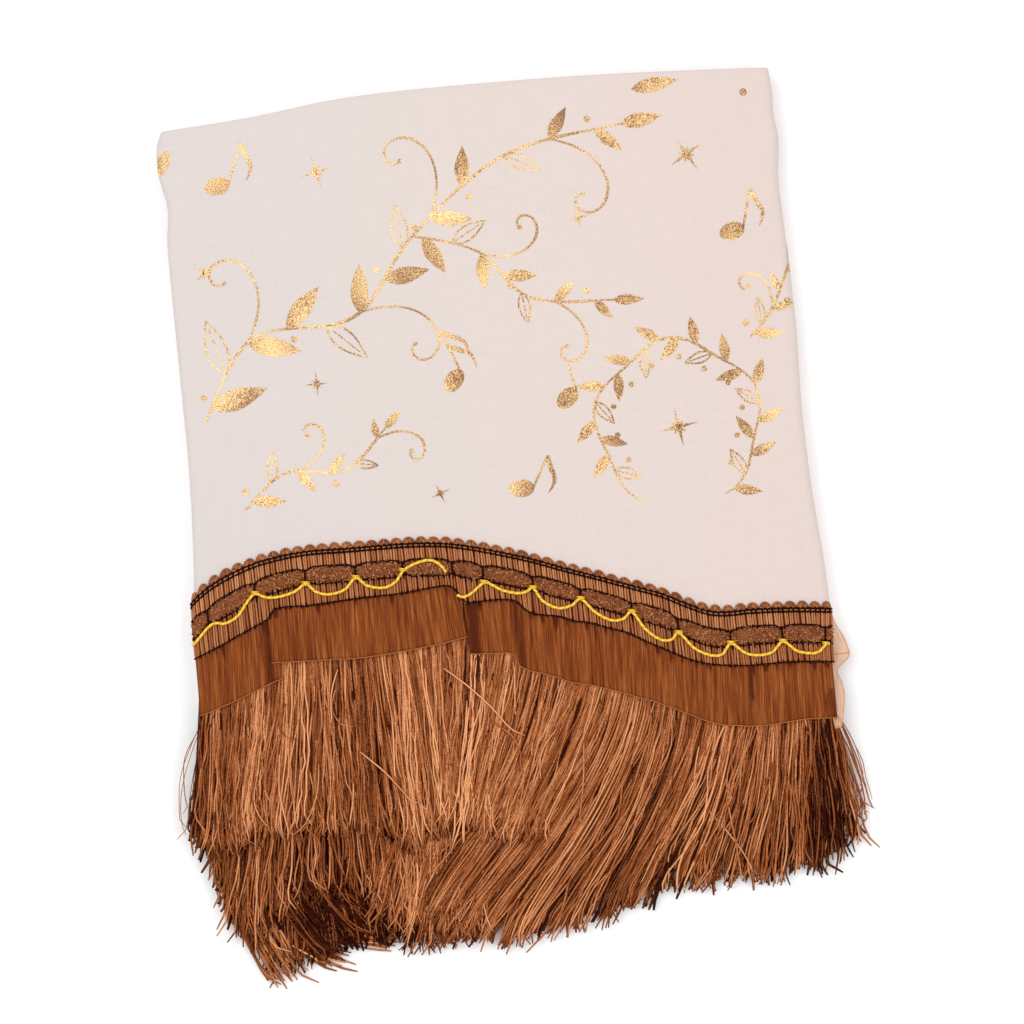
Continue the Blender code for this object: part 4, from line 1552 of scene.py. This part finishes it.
@dataclass
class Flounce:
    """The sheer flounce in three overlapping stretches, with a thread along its hem."""

    stack: Stack = STACK
    rows: int = 14
    pitch: float = 0.00060
    thickness: float = 0.00016
    drop: float = 0.032

    def stretch(self, start: float, end: float, hem: Profile, lift: float, flare: Spot,
                bundle: Bundle) -> bmesh.types.BMesh:
        """Make one stretch between two tucks.

        Args:
            start: Its left end.
            end: Its right end.
            hem: Line of its hem.
            lift: How far it lies above its neighbours at the hem.
            flare: How far its two ends lean out at the hem.
            bundle: Where its hem thread goes.

        Returns:
            The stretch's mesh.
        """
        stack = self.stack
        base = stack.level(TOP_LEVEL) + stack.layer_offset + 0.0003
        count = round((end - start) / self.pitch)
        columns, thread = [], []
        for step in range(count + 1):
            share = step / count
            x = mix(start, end, share)
            lean = mix(flare[0], flare[1], share) - 0.0024 * math.sin(math.pi * share) ** 0.5
            head = BRAID_FOOT.at(x) + 0.0035
            bottom = hem.at(x + lean) + 0.00035 * noise.noise(Vector((x * 160, 2.0, 0.0)))
            column = []
            for row in range(self.rows + 1):
                down = row / self.rows
                y = mix(head, bottom, down)
                gather = noise.noise(Vector((x * 420, y * 14, 1.0))) * 0.7
                gather += noise.noise(Vector((x * 150, y * 6, 4.0))) * 0.6
                swing = noise.noise(Vector((x * 95, y * 22, 6.0))) * 0.0009
                z = base + lift * ease(down * 2.5) + gather * 0.00042 * (0.35 + 0.65 * down) + 0.0003
                point = Vector((x + lean * down + swing * down, y, z))
                column.append(stack.swell(point))
            columns.append(column)
            thread.append(column[-1] + Vector((0, 0.0001, 0.00015)))
        bundle.add(thread, 0.00030, 0.45)
        mesh = sheet_mesh(columns)
        map_sheet(mesh, (end - start, self.drop), start)
        return mesh

    def build(self) -> list[bpy.types.Object]:
        """Make the flounce and its hem thread."""
        threads = Bundle(sides=6)
        joined = bmesh.new()
        stretches = (
            (-0.1672, -0.1225, HEM_LEFT, 0.0, (-0.0010, 0.0012)),
            (-0.0200, 0.1748, HEM_RIGHT, 0.0002, (0.0006, -0.0006)),
            (-0.1262, -0.0225, HEM_MIDDLE, 0.0012, (0.0, 0.0025)),
        )
        for start, end, hem, lift, flare in stretches:
            part = self.stretch(start, end, hem, lift, flare, threads)
            data = to_data(part)
            joined.from_mesh(data)
            bpy.data.meshes.remove(data)
        data = to_data(joined)
        keep_number(data, "tone", [self.tone(vert.co) for vert in data.vertices])
        piece = put_in_scene("flounce_sheer", data, ORGANZA.material(), ("flounce",))
        thicken(piece, self.thickness)
        hem = put_in_scene("flounce_hem_thread", threads.data(), HEM_YARN.material())
        return [piece, hem]

    @staticmethod
    def tone(point: Vector) -> float:
        """Give the tone of a place: painted shade of the tucks, of an oval under the pale tail, and of short
        dark streaks below the braid's foot where the gathers fold.
        """
        tone = 0.5
        for x, reach, depth in (
            (-0.0165, 0.0030, 0.9), (-0.1275, 0.0020, 0.6), (0.0080, 0.0025, 0.4), (0.1300, 0.0010, 0.6),
        ):
            tone -= depth * math.exp(-(((point[0] - x) / reach) ** 2)) if point[1] > -0.1100 else 0.0
        # Short dark streaks below the braid's foot are painted shade in the folds of the gathers.
        below = BRAID_FOOT.at(point[0]) - point[1]
        line = noise.noise(Vector((point[0] * 300, 7.0, 0.0)))
        line += 0.4 * noise.noise(Vector((point[0] * 800, 9.0, 0.0)))
        # An oval under the pale tail gets painted shade.
        inside = 1 - ((point[0] - 0.1738) / 0.0060) ** 2 - ((point[1] + 0.1195) / 0.0110) ** 2
        tone -= 0.30 * clamp(inside * 5)
        reach = 0.004 + 0.012 * abs(noise.noise(Vector((point[0] * 130, 11.0, 0.0))))
        tone -= 4.5 * clamp(line - 0.14, 0.0, 0.5) * (1 - ease(below / reach))
        return tone


@dataclass
class Tail:
    """The pale end of the flounce that turns round the right fold."""

    stack: Stack = STACK
    flat: Spot = (0.010, 0.062)
    inner: Profile = Profile((
        (-132.0, 172.6), (-124.0, 171.6), (-112.0, 170.4), (-100.0, 171.2), (-94.0, 173.8),
        (-85.0, 175.0), (-66.0, 175.6),
    ))
    outer: Profile = Profile((
        (-132.0, 175.9), (-125.0, 177.7), (-115.0, 179.5), (-107.7, 179.4), (-101.0, 177.2), (-97.6, 179.8),
        (-94.6, 183.9), (-92.0, 185.0), (-88.0, 184.4), (-82.0, 182.6), (-75.0, 179.0), (-66.0, 177.2),
    ))

    def build(self) -> list[bpy.types.Object]:
        columns = []
        for step in range(9):
            share = step / 8
            column = []
            for row in range(41):
                y = mix(-0.1312, -0.0680, row / 40)
                x = mix(self.inner.at(y), self.outer.at(y), share)
                wave = 0.0005 * math.sin(x * 2600 + y * 500)
                wave += 0.0004 * noise.noise(Vector((x * 300, y * 120, 0)))
                z = mix(0.0178, 0.0136, ease(row / 26)) - 0.0014 * share * share + wave
                column.append(self.stack.swell(Vector((x, y, z))))
            columns.append(column)
        mesh = sheet_mesh(columns)
        map_sheet(mesh, self.flat)
        data = to_data(mesh)
        keep_number(data, "tone", [0.5] * len(data.vertices))
        material = PALE_ORGANZA.material()
        piece = put_in_scene("flounce_tail_sheer", data, material, ("flounce_tail",))
        thicken(piece, 0.0002)
        threads = Bundle(sides=4)
        threads.add(columns[-1], 0.00024, 0.5)
        for row in (0, 25):
            threads.add([column[row] + Vector((0.0, 0.0, 0.0002)) for column in columns], 0.00022, 0.4)
        edge = put_in_scene("flounce_tail_thread", threads.data(), PALE_YARN.material())
        return [piece, edge]


@dataclass(frozen=True)
class Lock:
    """Where a strand that starts at root ends, in mm, and the tone of the strands there, set low as painted
    shade where the strands lie in shade.
    """

    root: float
    tip_x: float
    tip_y: float
    drop: float
    tone: float = 0.5


class Strands:
    """Bends a straight run into the soft wavy line of one strand of fringe."""

    def __init__(self, rng: random.Random, bundle: Bundle, radius: float, points: int) -> None:
        """Keep the source of unevenness, where strands go, their radius and number of points."""
        self.rng = rng
        self.bundle = bundle
        self.radius = radius
        self.points = points

    def add(self, path: Callable[[float], Vector], length: float, tone: float, wander: float,
            lift: float = 0.0, wide: float = 1.0) -> None:
        """Add one strand.

        Args:
            path: Gives its smooth middle line at a share of its length.
            length: About how long it is.
            tone: Its tone.
            wander: How far its long waves swing.
            lift: How far it rises over its neighbours on the way.
            wide: How many times its usual width it has.
        """
        rng = self.rng
        long_turns = length / rng.uniform(0.050, 0.095)
        short_turns = length / rng.uniform(0.015, 0.028)
        swings = (
            (long_turns, rng.uniform(0, TURN), rng.gauss(0.0, wander)),
            (short_turns, rng.uniform(0, TURN), rng.gauss(0.0, wander * 0.34)),
        )
        bob_turns, bob_phase = length / rng.uniform(0.03, 0.06), rng.uniform(0, TURN)
        bob = rng.uniform(0.00010, 0.00055)
        hook, curl = rng.gauss(0.0, 0.0030), rng.uniform(0.82, 0.94)
        points, tones = [], []
        last = self.points - 1
        for step in range(self.points):
            share = step / last
            point = path(share)
            for turns, phase, reach in swings:
                fade = min(share * 4, 1.0) * (0.5 + 0.5 * share)
                point.x += reach * fade * math.sin(TURN * turns * share + phase)
            point.x += hook * clamp((share - curl) / (1 - curl)) ** 2
            point.z += bob * math.sin(TURN * bob_turns * share + bob_phase) + lift * math.sin(math.pi * share)
            point = STACK.swell(point)
            point.z = max(point.z, self.radius * 0.9)
            points.append(point)
            # The glint is a painted glint along the strand, and the tips are made lighter as painted light.
            glint = 0.07 * math.sin(TURN * long_turns * 1.7 * share + bob_phase)
            tones.append(clamp(tone + glint + 0.10 * clamp((share - 0.86) * 8)))
        thin = self.radius * rng.uniform(0.84, 1.06) * wide
        radii = [thin] * last + [thin * 0.6]
        self.bundle.add(points, radii, tones)


@dataclass
class FringeRow:
    """One row of chainette fringe, as many thin strands in layers."""

    name: str
    locks: tuple[Lock, ...]
    height: float
    start: Callable[[float], float]
    count: int
    layers: int = 3
    power: float = 1.6
    sweep: float = 1.45
    points: int = 16
    radius: float = 0.00060
    spread: float = 0.0009
    wander: float = 0.0014
    ragged: float = 0.0045
    strays: float = 0.05
    seed: int = 1
    sides: int = 4
    replaced: tuple[str, ...] = ()

    def read(self, root: float, column: str) -> float:
        """Read a column of the table at a root."""
        return Profile(tuple((lock.root, getattr(lock, column)) for lock in self.locks)).at(root)

    def strand(self, root: float, layer: int, clump: tuple[float, float, float, float],
               strands: Strands) -> None:
        """Add one strand.

        Args:
            root: Its place along the row.
            layer: 0 for the top layer, and more below.
            clump: Centre, side drift, extra length and tone of the clump that it belongs to.
            strands: Bends it and keeps it.
        """
        rng = strands.rng
        centre, drift, longer, shade = clump
        deepest = layer == self.layers - 1
        if deepest:
            centre, drift = root, 0.0
        tip_x = self.read(root, "tip_x") + drift + rng.gauss(0.0, 0.0017)
        tip_y = self.read(root, "tip_y") + longer + abs(rng.gauss(0.0, self.ragged)) - self.ragged * 0.5
        if rng.random() < 0.10:
            tip_y += rng.uniform(0.004, 0.018)
        if rng.random() < self.strays:
            tip_x += rng.gauss(0.0, 0.010)
        middle_tip = self.read(centre, "tip_x") + drift
        drop = self.read(root, "drop")
        start = self.start(root)
        pull = (centre - root) * rng.uniform(0.35, 0.7)

        def path(share: float) -> Vector:
            """Give the strand's smooth line."""
            x = mix(root, tip_x, share ** self.sweep) + pull * math.sin(math.pi * clamp(share * 1.3))
            x = mix(x, middle_tip, 0.55 * share ** 5)
            deep = layer * mix(self.spread * 0.35, self.spread, ease(share * 1.5))
            return Vector((x, mix(start, tip_y, share), self.height - drop * share ** self.power - deep))

        # Lower layers get painted shade, darker by up to 0.42, and the deepest layer's wider strands fill the
        # gaps with that dark tone.
        under = layer / max(self.layers - 1, 1)
        tone = self.read(root, "tone") / MM + shade + rng.gauss(0.0, 0.13) + 0.08 - 0.42 * under
        length = math.hypot(tip_x - root, tip_y - start)
        wander = self.wander * (0.3 if deepest else 1.0)
        strands.add(path, length, tone, wander, wide=1.6 if deepest else 1.0)

    def build(self) -> bpy.types.Object:
        """Make the row as one piece."""
        rng = random.Random(self.seed)
        bundle = Bundle(sides=self.sides)
        strands = Strands(rng, bundle, self.radius, self.points)
        first, last = self.locks[0].root * MM, self.locks[-1].root * MM
        for layer in reversed(range(self.layers)):
            per_layer = round(self.count / self.layers * (0.62 + 0.76 * layer / max(self.layers - 1, 1)))
            index = 0
            while index < per_layer:
                size = rng.randint(3, 9)
                centre = mix(first, last, clamp((index + size / 2) / per_layer))
                clump = (centre, rng.gauss(0.0, 0.0026), rng.gauss(0.0, 0.0026), rng.gauss(0.0, 0.06))
                for member in range(index, min(index + size, per_layer)):
                    root = mix(first, last, (member + rng.uniform(0.15, 0.85)) / per_layer)
                    self.strand(root, layer, clump, strands)
                index += size
        return put_in_scene(self.name, bundle.data(), FRINGE_YARN.material(), self.replaced)


@dataclass(frozen=True)
class Tuft:
    """Strands given as a bunch, in mm: their start and end, how wide they spread, and their tone."""

    start: tuple[float, float, float]
    end: tuple[float, float, float]
    start_width: float
    end_width: float
    count: int
    tone: float = 0.5
    bend: float = 0.0
    ragged: float = 3.0
    radius: float = 0.62
    lift: float = 0.0

    def add(self, strands: Strands) -> None:
        """Add the tuft's strands."""
        rng = strands.rng
        start, end = Vector(self.start) * MM, Vector(self.end) * MM
        run = end - start
        aside = Vector((-run.y, run.x, 0.0)).normalized()
        length = run.length
        for _ in range(self.count):
            place = rng.uniform(-1, 1)
            slip = rng.gauss(0.0, self.ragged * MM)
            begin = start + aside * (place * self.start_width / 2 + rng.gauss(0.0, 0.6)) * MM
            finish = end + aside * (place * self.end_width / 2 + rng.gauss(0.0, 1.2)) * MM
            finish += run.normalized() * slip
            begin.z += rng.uniform(-0.0006, 0.0006)
            finish.z += rng.uniform(-0.0008, 0.0008)
            depth = rng.random() if self.count > 12 else 0.0
            begin.z, finish.z = begin.z - 0.0016 * depth, finish.z - 0.0016 * depth
            bow = (self.bend + rng.gauss(0.0, 1.2)) * MM

            def path(share: float, begin: Vector = begin, finish: Vector = finish,
                     bow: float = bow) -> Vector:
                """Give the strand's smooth line."""
                return begin.lerp(finish, share) + aside * bow * math.sin(math.pi * share)

            wander = 0.0007 if self.count > 1 else 0.0004
            # Strands set deeper in a big tuft get painted shade, darker by up to 0.36.
            tone = self.tone + 0.14 - 0.36 * depth + rng.gauss(0.0, 0.12)
            strands.add(path, length, tone, wander, self.lift * MM)


@dataclass
class Tufts:
    """Loose bunches, crossing strands and thin hairs over the rows of fringe."""

    seed: int = 77
    bunches: tuple[Tuft, ...] = (
        Tuft((-156.0, -176.0, 9.0), (-138.0, -233.0, 4.0), 14.0, 23.0, 36, 0.58, bend=-3.0, ragged=5.0),
        Tuft((-38.0, -140.0, 13.8), (-72.0, -211.0, 9.6), 26.0, 38.0, 130, 0.42, bend=-4.0, ragged=7.0),
        Tuft((-128.0, -192.0, 5.6), (-80.0, -221.0, 2.8), 10.0, 9.0, 34, 0.60, bend=-6.0, ragged=4.0),
        Tuft((-146.0, -190.0, 6.0), (-112.0, -227.0, 2.8), 10.0, 12.0, 34, 0.54, bend=-4.0, ragged=5.0),
        Tuft((-66.0, -180.0, 8.5), (-51.0, -225.0, 4.5), 14.0, 16.0, 40, 0.32, ragged=3.0),
        # The bunch of tone 0.0 is painted shade where the strands curl under.
        Tuft((-126.0, -172.0, 10.4), (-101.0, -217.0, 6.0), 32.0, 40.0, 80, 0.0, bend=-3.0, ragged=3.0),
        Tuft((162.0, -122.0, 16.6), (171.0, -186.0, 8.0), 18.0, 26.0, 30, 0.66, ragged=9.0),
    )
    crossing: tuple[Tuft, ...] = (
        Tuft((-84.0, -116.0, 19.4), (-60.0, -148.0, 18.0), 1.0, 1.0, 1, 0.66, 2.5, radius=0.5, lift=0.5),
        Tuft((-108.0, -120.0, 19.2), (-120.0, -152.0, 17.6), 1.0, 1.0, 1, 0.60, 3.0, radius=0.5, lift=0.5),
        Tuft((-34.0, -76.0, 19.8), (-2.0, -112.0, 18.8), 1.0, 1.0, 1, 0.72, 2.5, radius=0.5, lift=0.4),
        Tuft((100.0, -170.0, 13.6), (122.0, -206.0, 8.0), 1.0, 1.0, 1, 0.72, 2.0, radius=0.5, lift=0.8),
        Tuft((36.0, -124.0, 18.9), (30.0, -170.0, 16.0), 1.0, 1.0, 1, 0.72, 2.0, radius=0.5, lift=0.5),
    )
    hairs: tuple[Tuft, ...] = (
        Tuft((-168.0, -92.0, 13.0), (-183.0, -146.0, 8.0), 2.0, 5.0, 5, 0.5, -5.0, 8.0, 0.26),
        Tuft((172.0, -120.0, 12.5), (184.0, -168.0, 7.0), 2.0, 6.0, 4, 0.4, 3.0, 8.0, 0.24),
        Tuft((172.5, -122.0, 12.0), (183.0, -176.0, 5.0), 3.0, 6.0, 9, 0.36, 1.0, 9.0, 0.44),
    )

    def random_crossing(self, rng: random.Random) -> list[Tuft]:
        """List strands that cross the rows at random, all of the top rows' height."""
        result = []
        for _ in range(12):
            x = rng.uniform(-150.0, 160.0)
            hem = HEM_MIDDLE if -126 < x < -20 else HEM_LEFT if x < -126 else HEM_RIGHT
            y = hem.at(x * MM) / MM - rng.uniform(2.0, 46.0)
            length = rng.uniform(22.0, 46.0)
            lean = rng.gauss(-0.20 if x > 0 else 0.0, 0.22)
            fall = 1.0 if y > -120 else 2.6
            top = 18.7 if y > -112 else 17.9
            result.append(Tuft(
                (x, y, top), (x + lean * length, y - length, top - fall * length / 26), 1.0, 1.0, 1,
                rng.uniform(0.40, 0.66), rng.gauss(0.0, 3.4), radius=0.48, lift=0.5,
            ))
        return result

    def build(self) -> bpy.types.Object:
        """Make all of them as one piece."""
        rng = random.Random(self.seed)
        bundle = Bundle(sides=4)
        for tuft in (*self.bunches, *self.crossing, *self.random_crossing(rng), *self.hairs):
            tuft.add(Strands(rng, bundle, tuft.radius * MM, 14))
        return put_in_scene("fringe_loose_strands", bundle.data(), FRINGE_YARN.material())


def front_line(index: int) -> Callable[[float], float]:
    """Give the line from which the fringe of a pass starts."""
    def line(x: float) -> float:
        """Give the line's y at a place across."""
        left, right = STACK.pass_ends(index, -0.09)
        return STACK.front_edge(index, clamp((x - left) / (right - left))) - 0.0006
    return line


def under_flounce(x: float) -> float:
    """Give the y at which the top fringe leaves the braid's foot."""
    return BRAID_FOOT.at(x) + 0.002


def fringe_rows() -> list[FringeRow]:
    """List the rows of fringe, from the floor up."""
    return [
        FringeRow(
            name="fringe_floor_strands", replaced=("fringe_bottom",), seed=31,
            locks=(
                Lock(-158.0, -163.0, -190.0, 0.0, 0.25), Lock(-100.0, -100.0, -212.0, 0.0, 0.12),
                Lock(-60.0, -58.0, -216.0, 0.0, 0.15), Lock(20.0, 16.0, -206.0, 0.0, 0.25),
                Lock(120.0, 118.0, -200.0, 0.0, 0.25), Lock(168.0, 171.0, -194.0, 0.0, 0.15),
            ),
            height=0.0030, start=front_line(4), count=500, layers=2, points=12, spread=0.0010,
        ),
        FringeRow(
            name="fringe_third_strands", replaced=("fringe_third",), seed=32,
            locks=(
                Lock(-160.0, -171.0, -175.0, 4.0, 0.40), Lock(-152.0, -163.5, -201.0, 5.0, 0.42),
                Lock(-144.0, -154.0, -220.0, 6.0, 0.42), Lock(-134.0, -141.0, -229.0, 6.5, 0.42),
                Lock(-124.0, -124.0, -226.0, 6.4, 0.26), Lock(-110.0, -104.0, -220.0, 6.0, 0.06),
                Lock(-84.0, -76.0, -220.0, 6.0, 0.06), Lock(-50.0, -50.0, -224.0, 6.0, 0.24),
                Lock(-15.0, -22.0, -216.0, 6.0, 0.35),
            ),
            height=0.0112, start=front_line(2), count=440, layers=3, points=18, power=1.6, ragged=0.007,
        ),
        FringeRow(
            name="fringe_second_strands", replaced=("fringe_second",), seed=33,
            locks=(
                Lock(-163.0, -177.0, -158.0, 2.5, 0.40), Lock(-154.0, -170.0, -177.0, 3.5, 0.44),
                Lock(-146.0, -165.0, -196.0, 4.0, 0.46), Lock(-134.0, -154.0, -212.0, 4.6, 0.48),
                Lock(-120.0, -134.0, -200.0, 5.0, 0.44), Lock(-104.0, -110.0, -192.0, 5.0, 0.40),
                Lock(-86.0, -88.0, -194.0, 5.0, 0.40), Lock(-70.0, -76.0, -206.0, 5.0, 0.48),
                Lock(-45.0, -54.0, -216.0, 5.0, 0.56), Lock(-12.0, -30.0, -222.0, 5.5, 0.56),
            ),
            height=0.0146, start=front_line(0), count=460, layers=3, points=20, power=1.6, ragged=0.006,
        ),
        FringeRow(
            name="fringe_top_left_strands", replaced=("fringe_top",), seed=34,
            locks=(
                Lock(-164.5, -180.5, -152.0, 2.0, 0.33), Lock(-158.0, -171.0, -161.0, 2.0, 0.47),
                Lock(-148.0, -160.0, -164.0, 1.9, 0.53), Lock(-134.0, -151.0, -156.0, 1.6, 0.57),
                Lock(-119.0, -141.0, -158.0, 1.6, 0.61), Lock(-106.0, -118.0, -156.0, 1.5, 0.61),
                Lock(-92.0, -97.0, -156.0, 1.5, 0.59), Lock(-76.0, -77.0, -162.0, 1.5, 0.45),
                Lock(-60.0, -58.0, -172.0, 2.0, 0.61), Lock(-45.0, -43.0, -160.0, 2.0, 0.63),
                Lock(-24.0, -34.0, -160.0, 2.0, 0.61),
            ),
            height=0.0174, start=under_flounce, count=560, layers=4, points=22, power=3.0, spread=0.0005,
            sweep=1.25, ragged=0.006,
        ),
        FringeRow(
            name="fringe_top_right_strands", seed=35,
            locks=(
                Lock(30.0, -56.0, -206.0, 4.5, 0.48), Lock(42.0, -50.0, -214.0, 6.5, 0.47),
                Lock(54.0, -42.0, -222.0, 8.0, 0.49), Lock(66.0, -27.0, -227.0, 9.5, 0.49),
                Lock(76.0, -7.0, -229.0, 10.4, 0.49), Lock(87.0, 16.0, -226.0, 11.0, 0.50),
                Lock(100.0, 43.0, -218.0, 11.0, 0.51), Lock(115.0, 67.0, -211.0, 11.0, 0.51),
                Lock(130.0, 97.0, -210.0, 11.0, 0.50), Lock(143.0, 122.0, -209.0, 11.0, 0.49),
                Lock(152.0, 139.0, -208.0, 11.0, 0.44), Lock(160.0, 153.0, -206.0, 11.0, 0.30),
                Lock(166.5, 167.0, -202.0, 11.0, 0.16), Lock(172.0, 180.0, -190.0, 11.0, 0.24),
            ),
            height=0.0172, start=under_flounce, count=800, layers=4, points=24, power=2.8, spread=0.0007,
            sweep=1.75, ragged=0.0065,
        ),
        FringeRow(
            name="fringe_top_middle_strands", seed=36,
            locks=(
                Lock(-24.0, -38.0, -160.0, 1.8, 0.56), Lock(-6.0, -33.0, -162.0, 1.8, 0.56),
                Lock(14.0, -22.0, -166.0, 1.8, 0.56), Lock(30.0, -12.0, -169.0, 2.0, 0.56),
                Lock(46.0, -2.0, -172.0, 2.4, 0.56), Lock(58.0, 10.0, -177.0, 3.0, 0.56),
            ),
            height=0.0176, start=under_flounce, count=280, layers=3, points=20, power=2.6, spread=0.0005,
            sweep=1.4, ragged=0.006,
        ),
    ]


@dataclass
class Studio:
    """The pale floor, the soft lights and the camera straight above."""

    camera_height: float = 1.8
    centre: tuple[float, float] = (0.0114, 0.0039)
    turn: float = -6.2
    lens: float = 115.9
    world_light: float = 0.73
    lights: tuple[tuple[str, tuple[float, float, float], float, float], ...] = (
        ("key", (-0.6, 0.5, 1.6), 1.3, 13.4), ("fill", (0.9, -0.4, 1.7), 1.4, 10.2),
    )

    def light(self, name: str, place: tuple[float, float, float], size: float, power: float) -> None:
        """Add a square soft light that faces the cover."""
        lamp = bpy.data.lights.new(name, "AREA")
        lamp.shape = "SQUARE"
        lamp.size = size
        lamp.energy = power
        holder = bpy.data.objects.new(name, lamp)
        holder.location = place
        holder.rotation_euler = (-Vector(place)).to_track_quat("-Z", "Y").to_euler()
        bpy.context.scene.collection.objects.link(holder)

    def build(self) -> None:
        """Make the floor, the lights and the camera."""
        mesh = bmesh.new()
        bmesh.ops.create_grid(mesh, x_segments=1, y_segments=1, size=4.0)
        floor = bpy.data.objects.new("floor", to_data(mesh))
        floor.location = (0.0, 0.0, -0.0003)
        bpy.context.scene.collection.objects.link(floor)
        material, nodes, shader = new_material("floor_paper")
        grain = nodes.clouds(nodes.place(), 6.0, 2.0)
        colour = nodes.ramp(grain, ((0.3, srgb(250, 250, 250)), (0.7, srgb(255, 255, 255))))
        dress(nodes, shader, colour, None, Roughness=0.9, Specular_IOR_Level=0.1)
        floor.data.materials.append(material)

        world = bpy.data.worlds.new("studio")
        world.use_nodes = True
        backdrop = world.node_tree.nodes["Background"]
        backdrop.inputs[0].default_value = (1.0, 1.0, 1.0, 1.0)
        backdrop.inputs[1].default_value = self.world_light
        bpy.context.scene.world = world
        bpy.context.scene.view_settings.view_transform = "Standard"
        for name, place, size, power in self.lights:
            self.light(name, place, size, power)

        camera = bpy.data.cameras.new("camera")
        camera.sensor_width = 36.0
        camera.lens = self.lens
        holder = bpy.data.objects.new("camera", camera)
        holder.location = (*self.centre, self.camera_height)
        holder.rotation_euler = (0.0, 0.0, math.radians(self.turn))
        bpy.context.scene.collection.objects.link(holder)
        bpy.context.scene.camera = holder


def main() -> None:
    """Build every piece in order."""
    logging.basicConfig(level=logging.INFO, format="%(name)s %(message)s")
    Studio().build()
    Cloth().build()
    Print().build()
    braid = Braid()
    braid.build()
    GoldCord(braid).build()
    Flounce().build()
    Tail().build()
    for row in fringe_rows():
        row.build()
    Tufts().build()


if __name__ == "__main__":
    main()
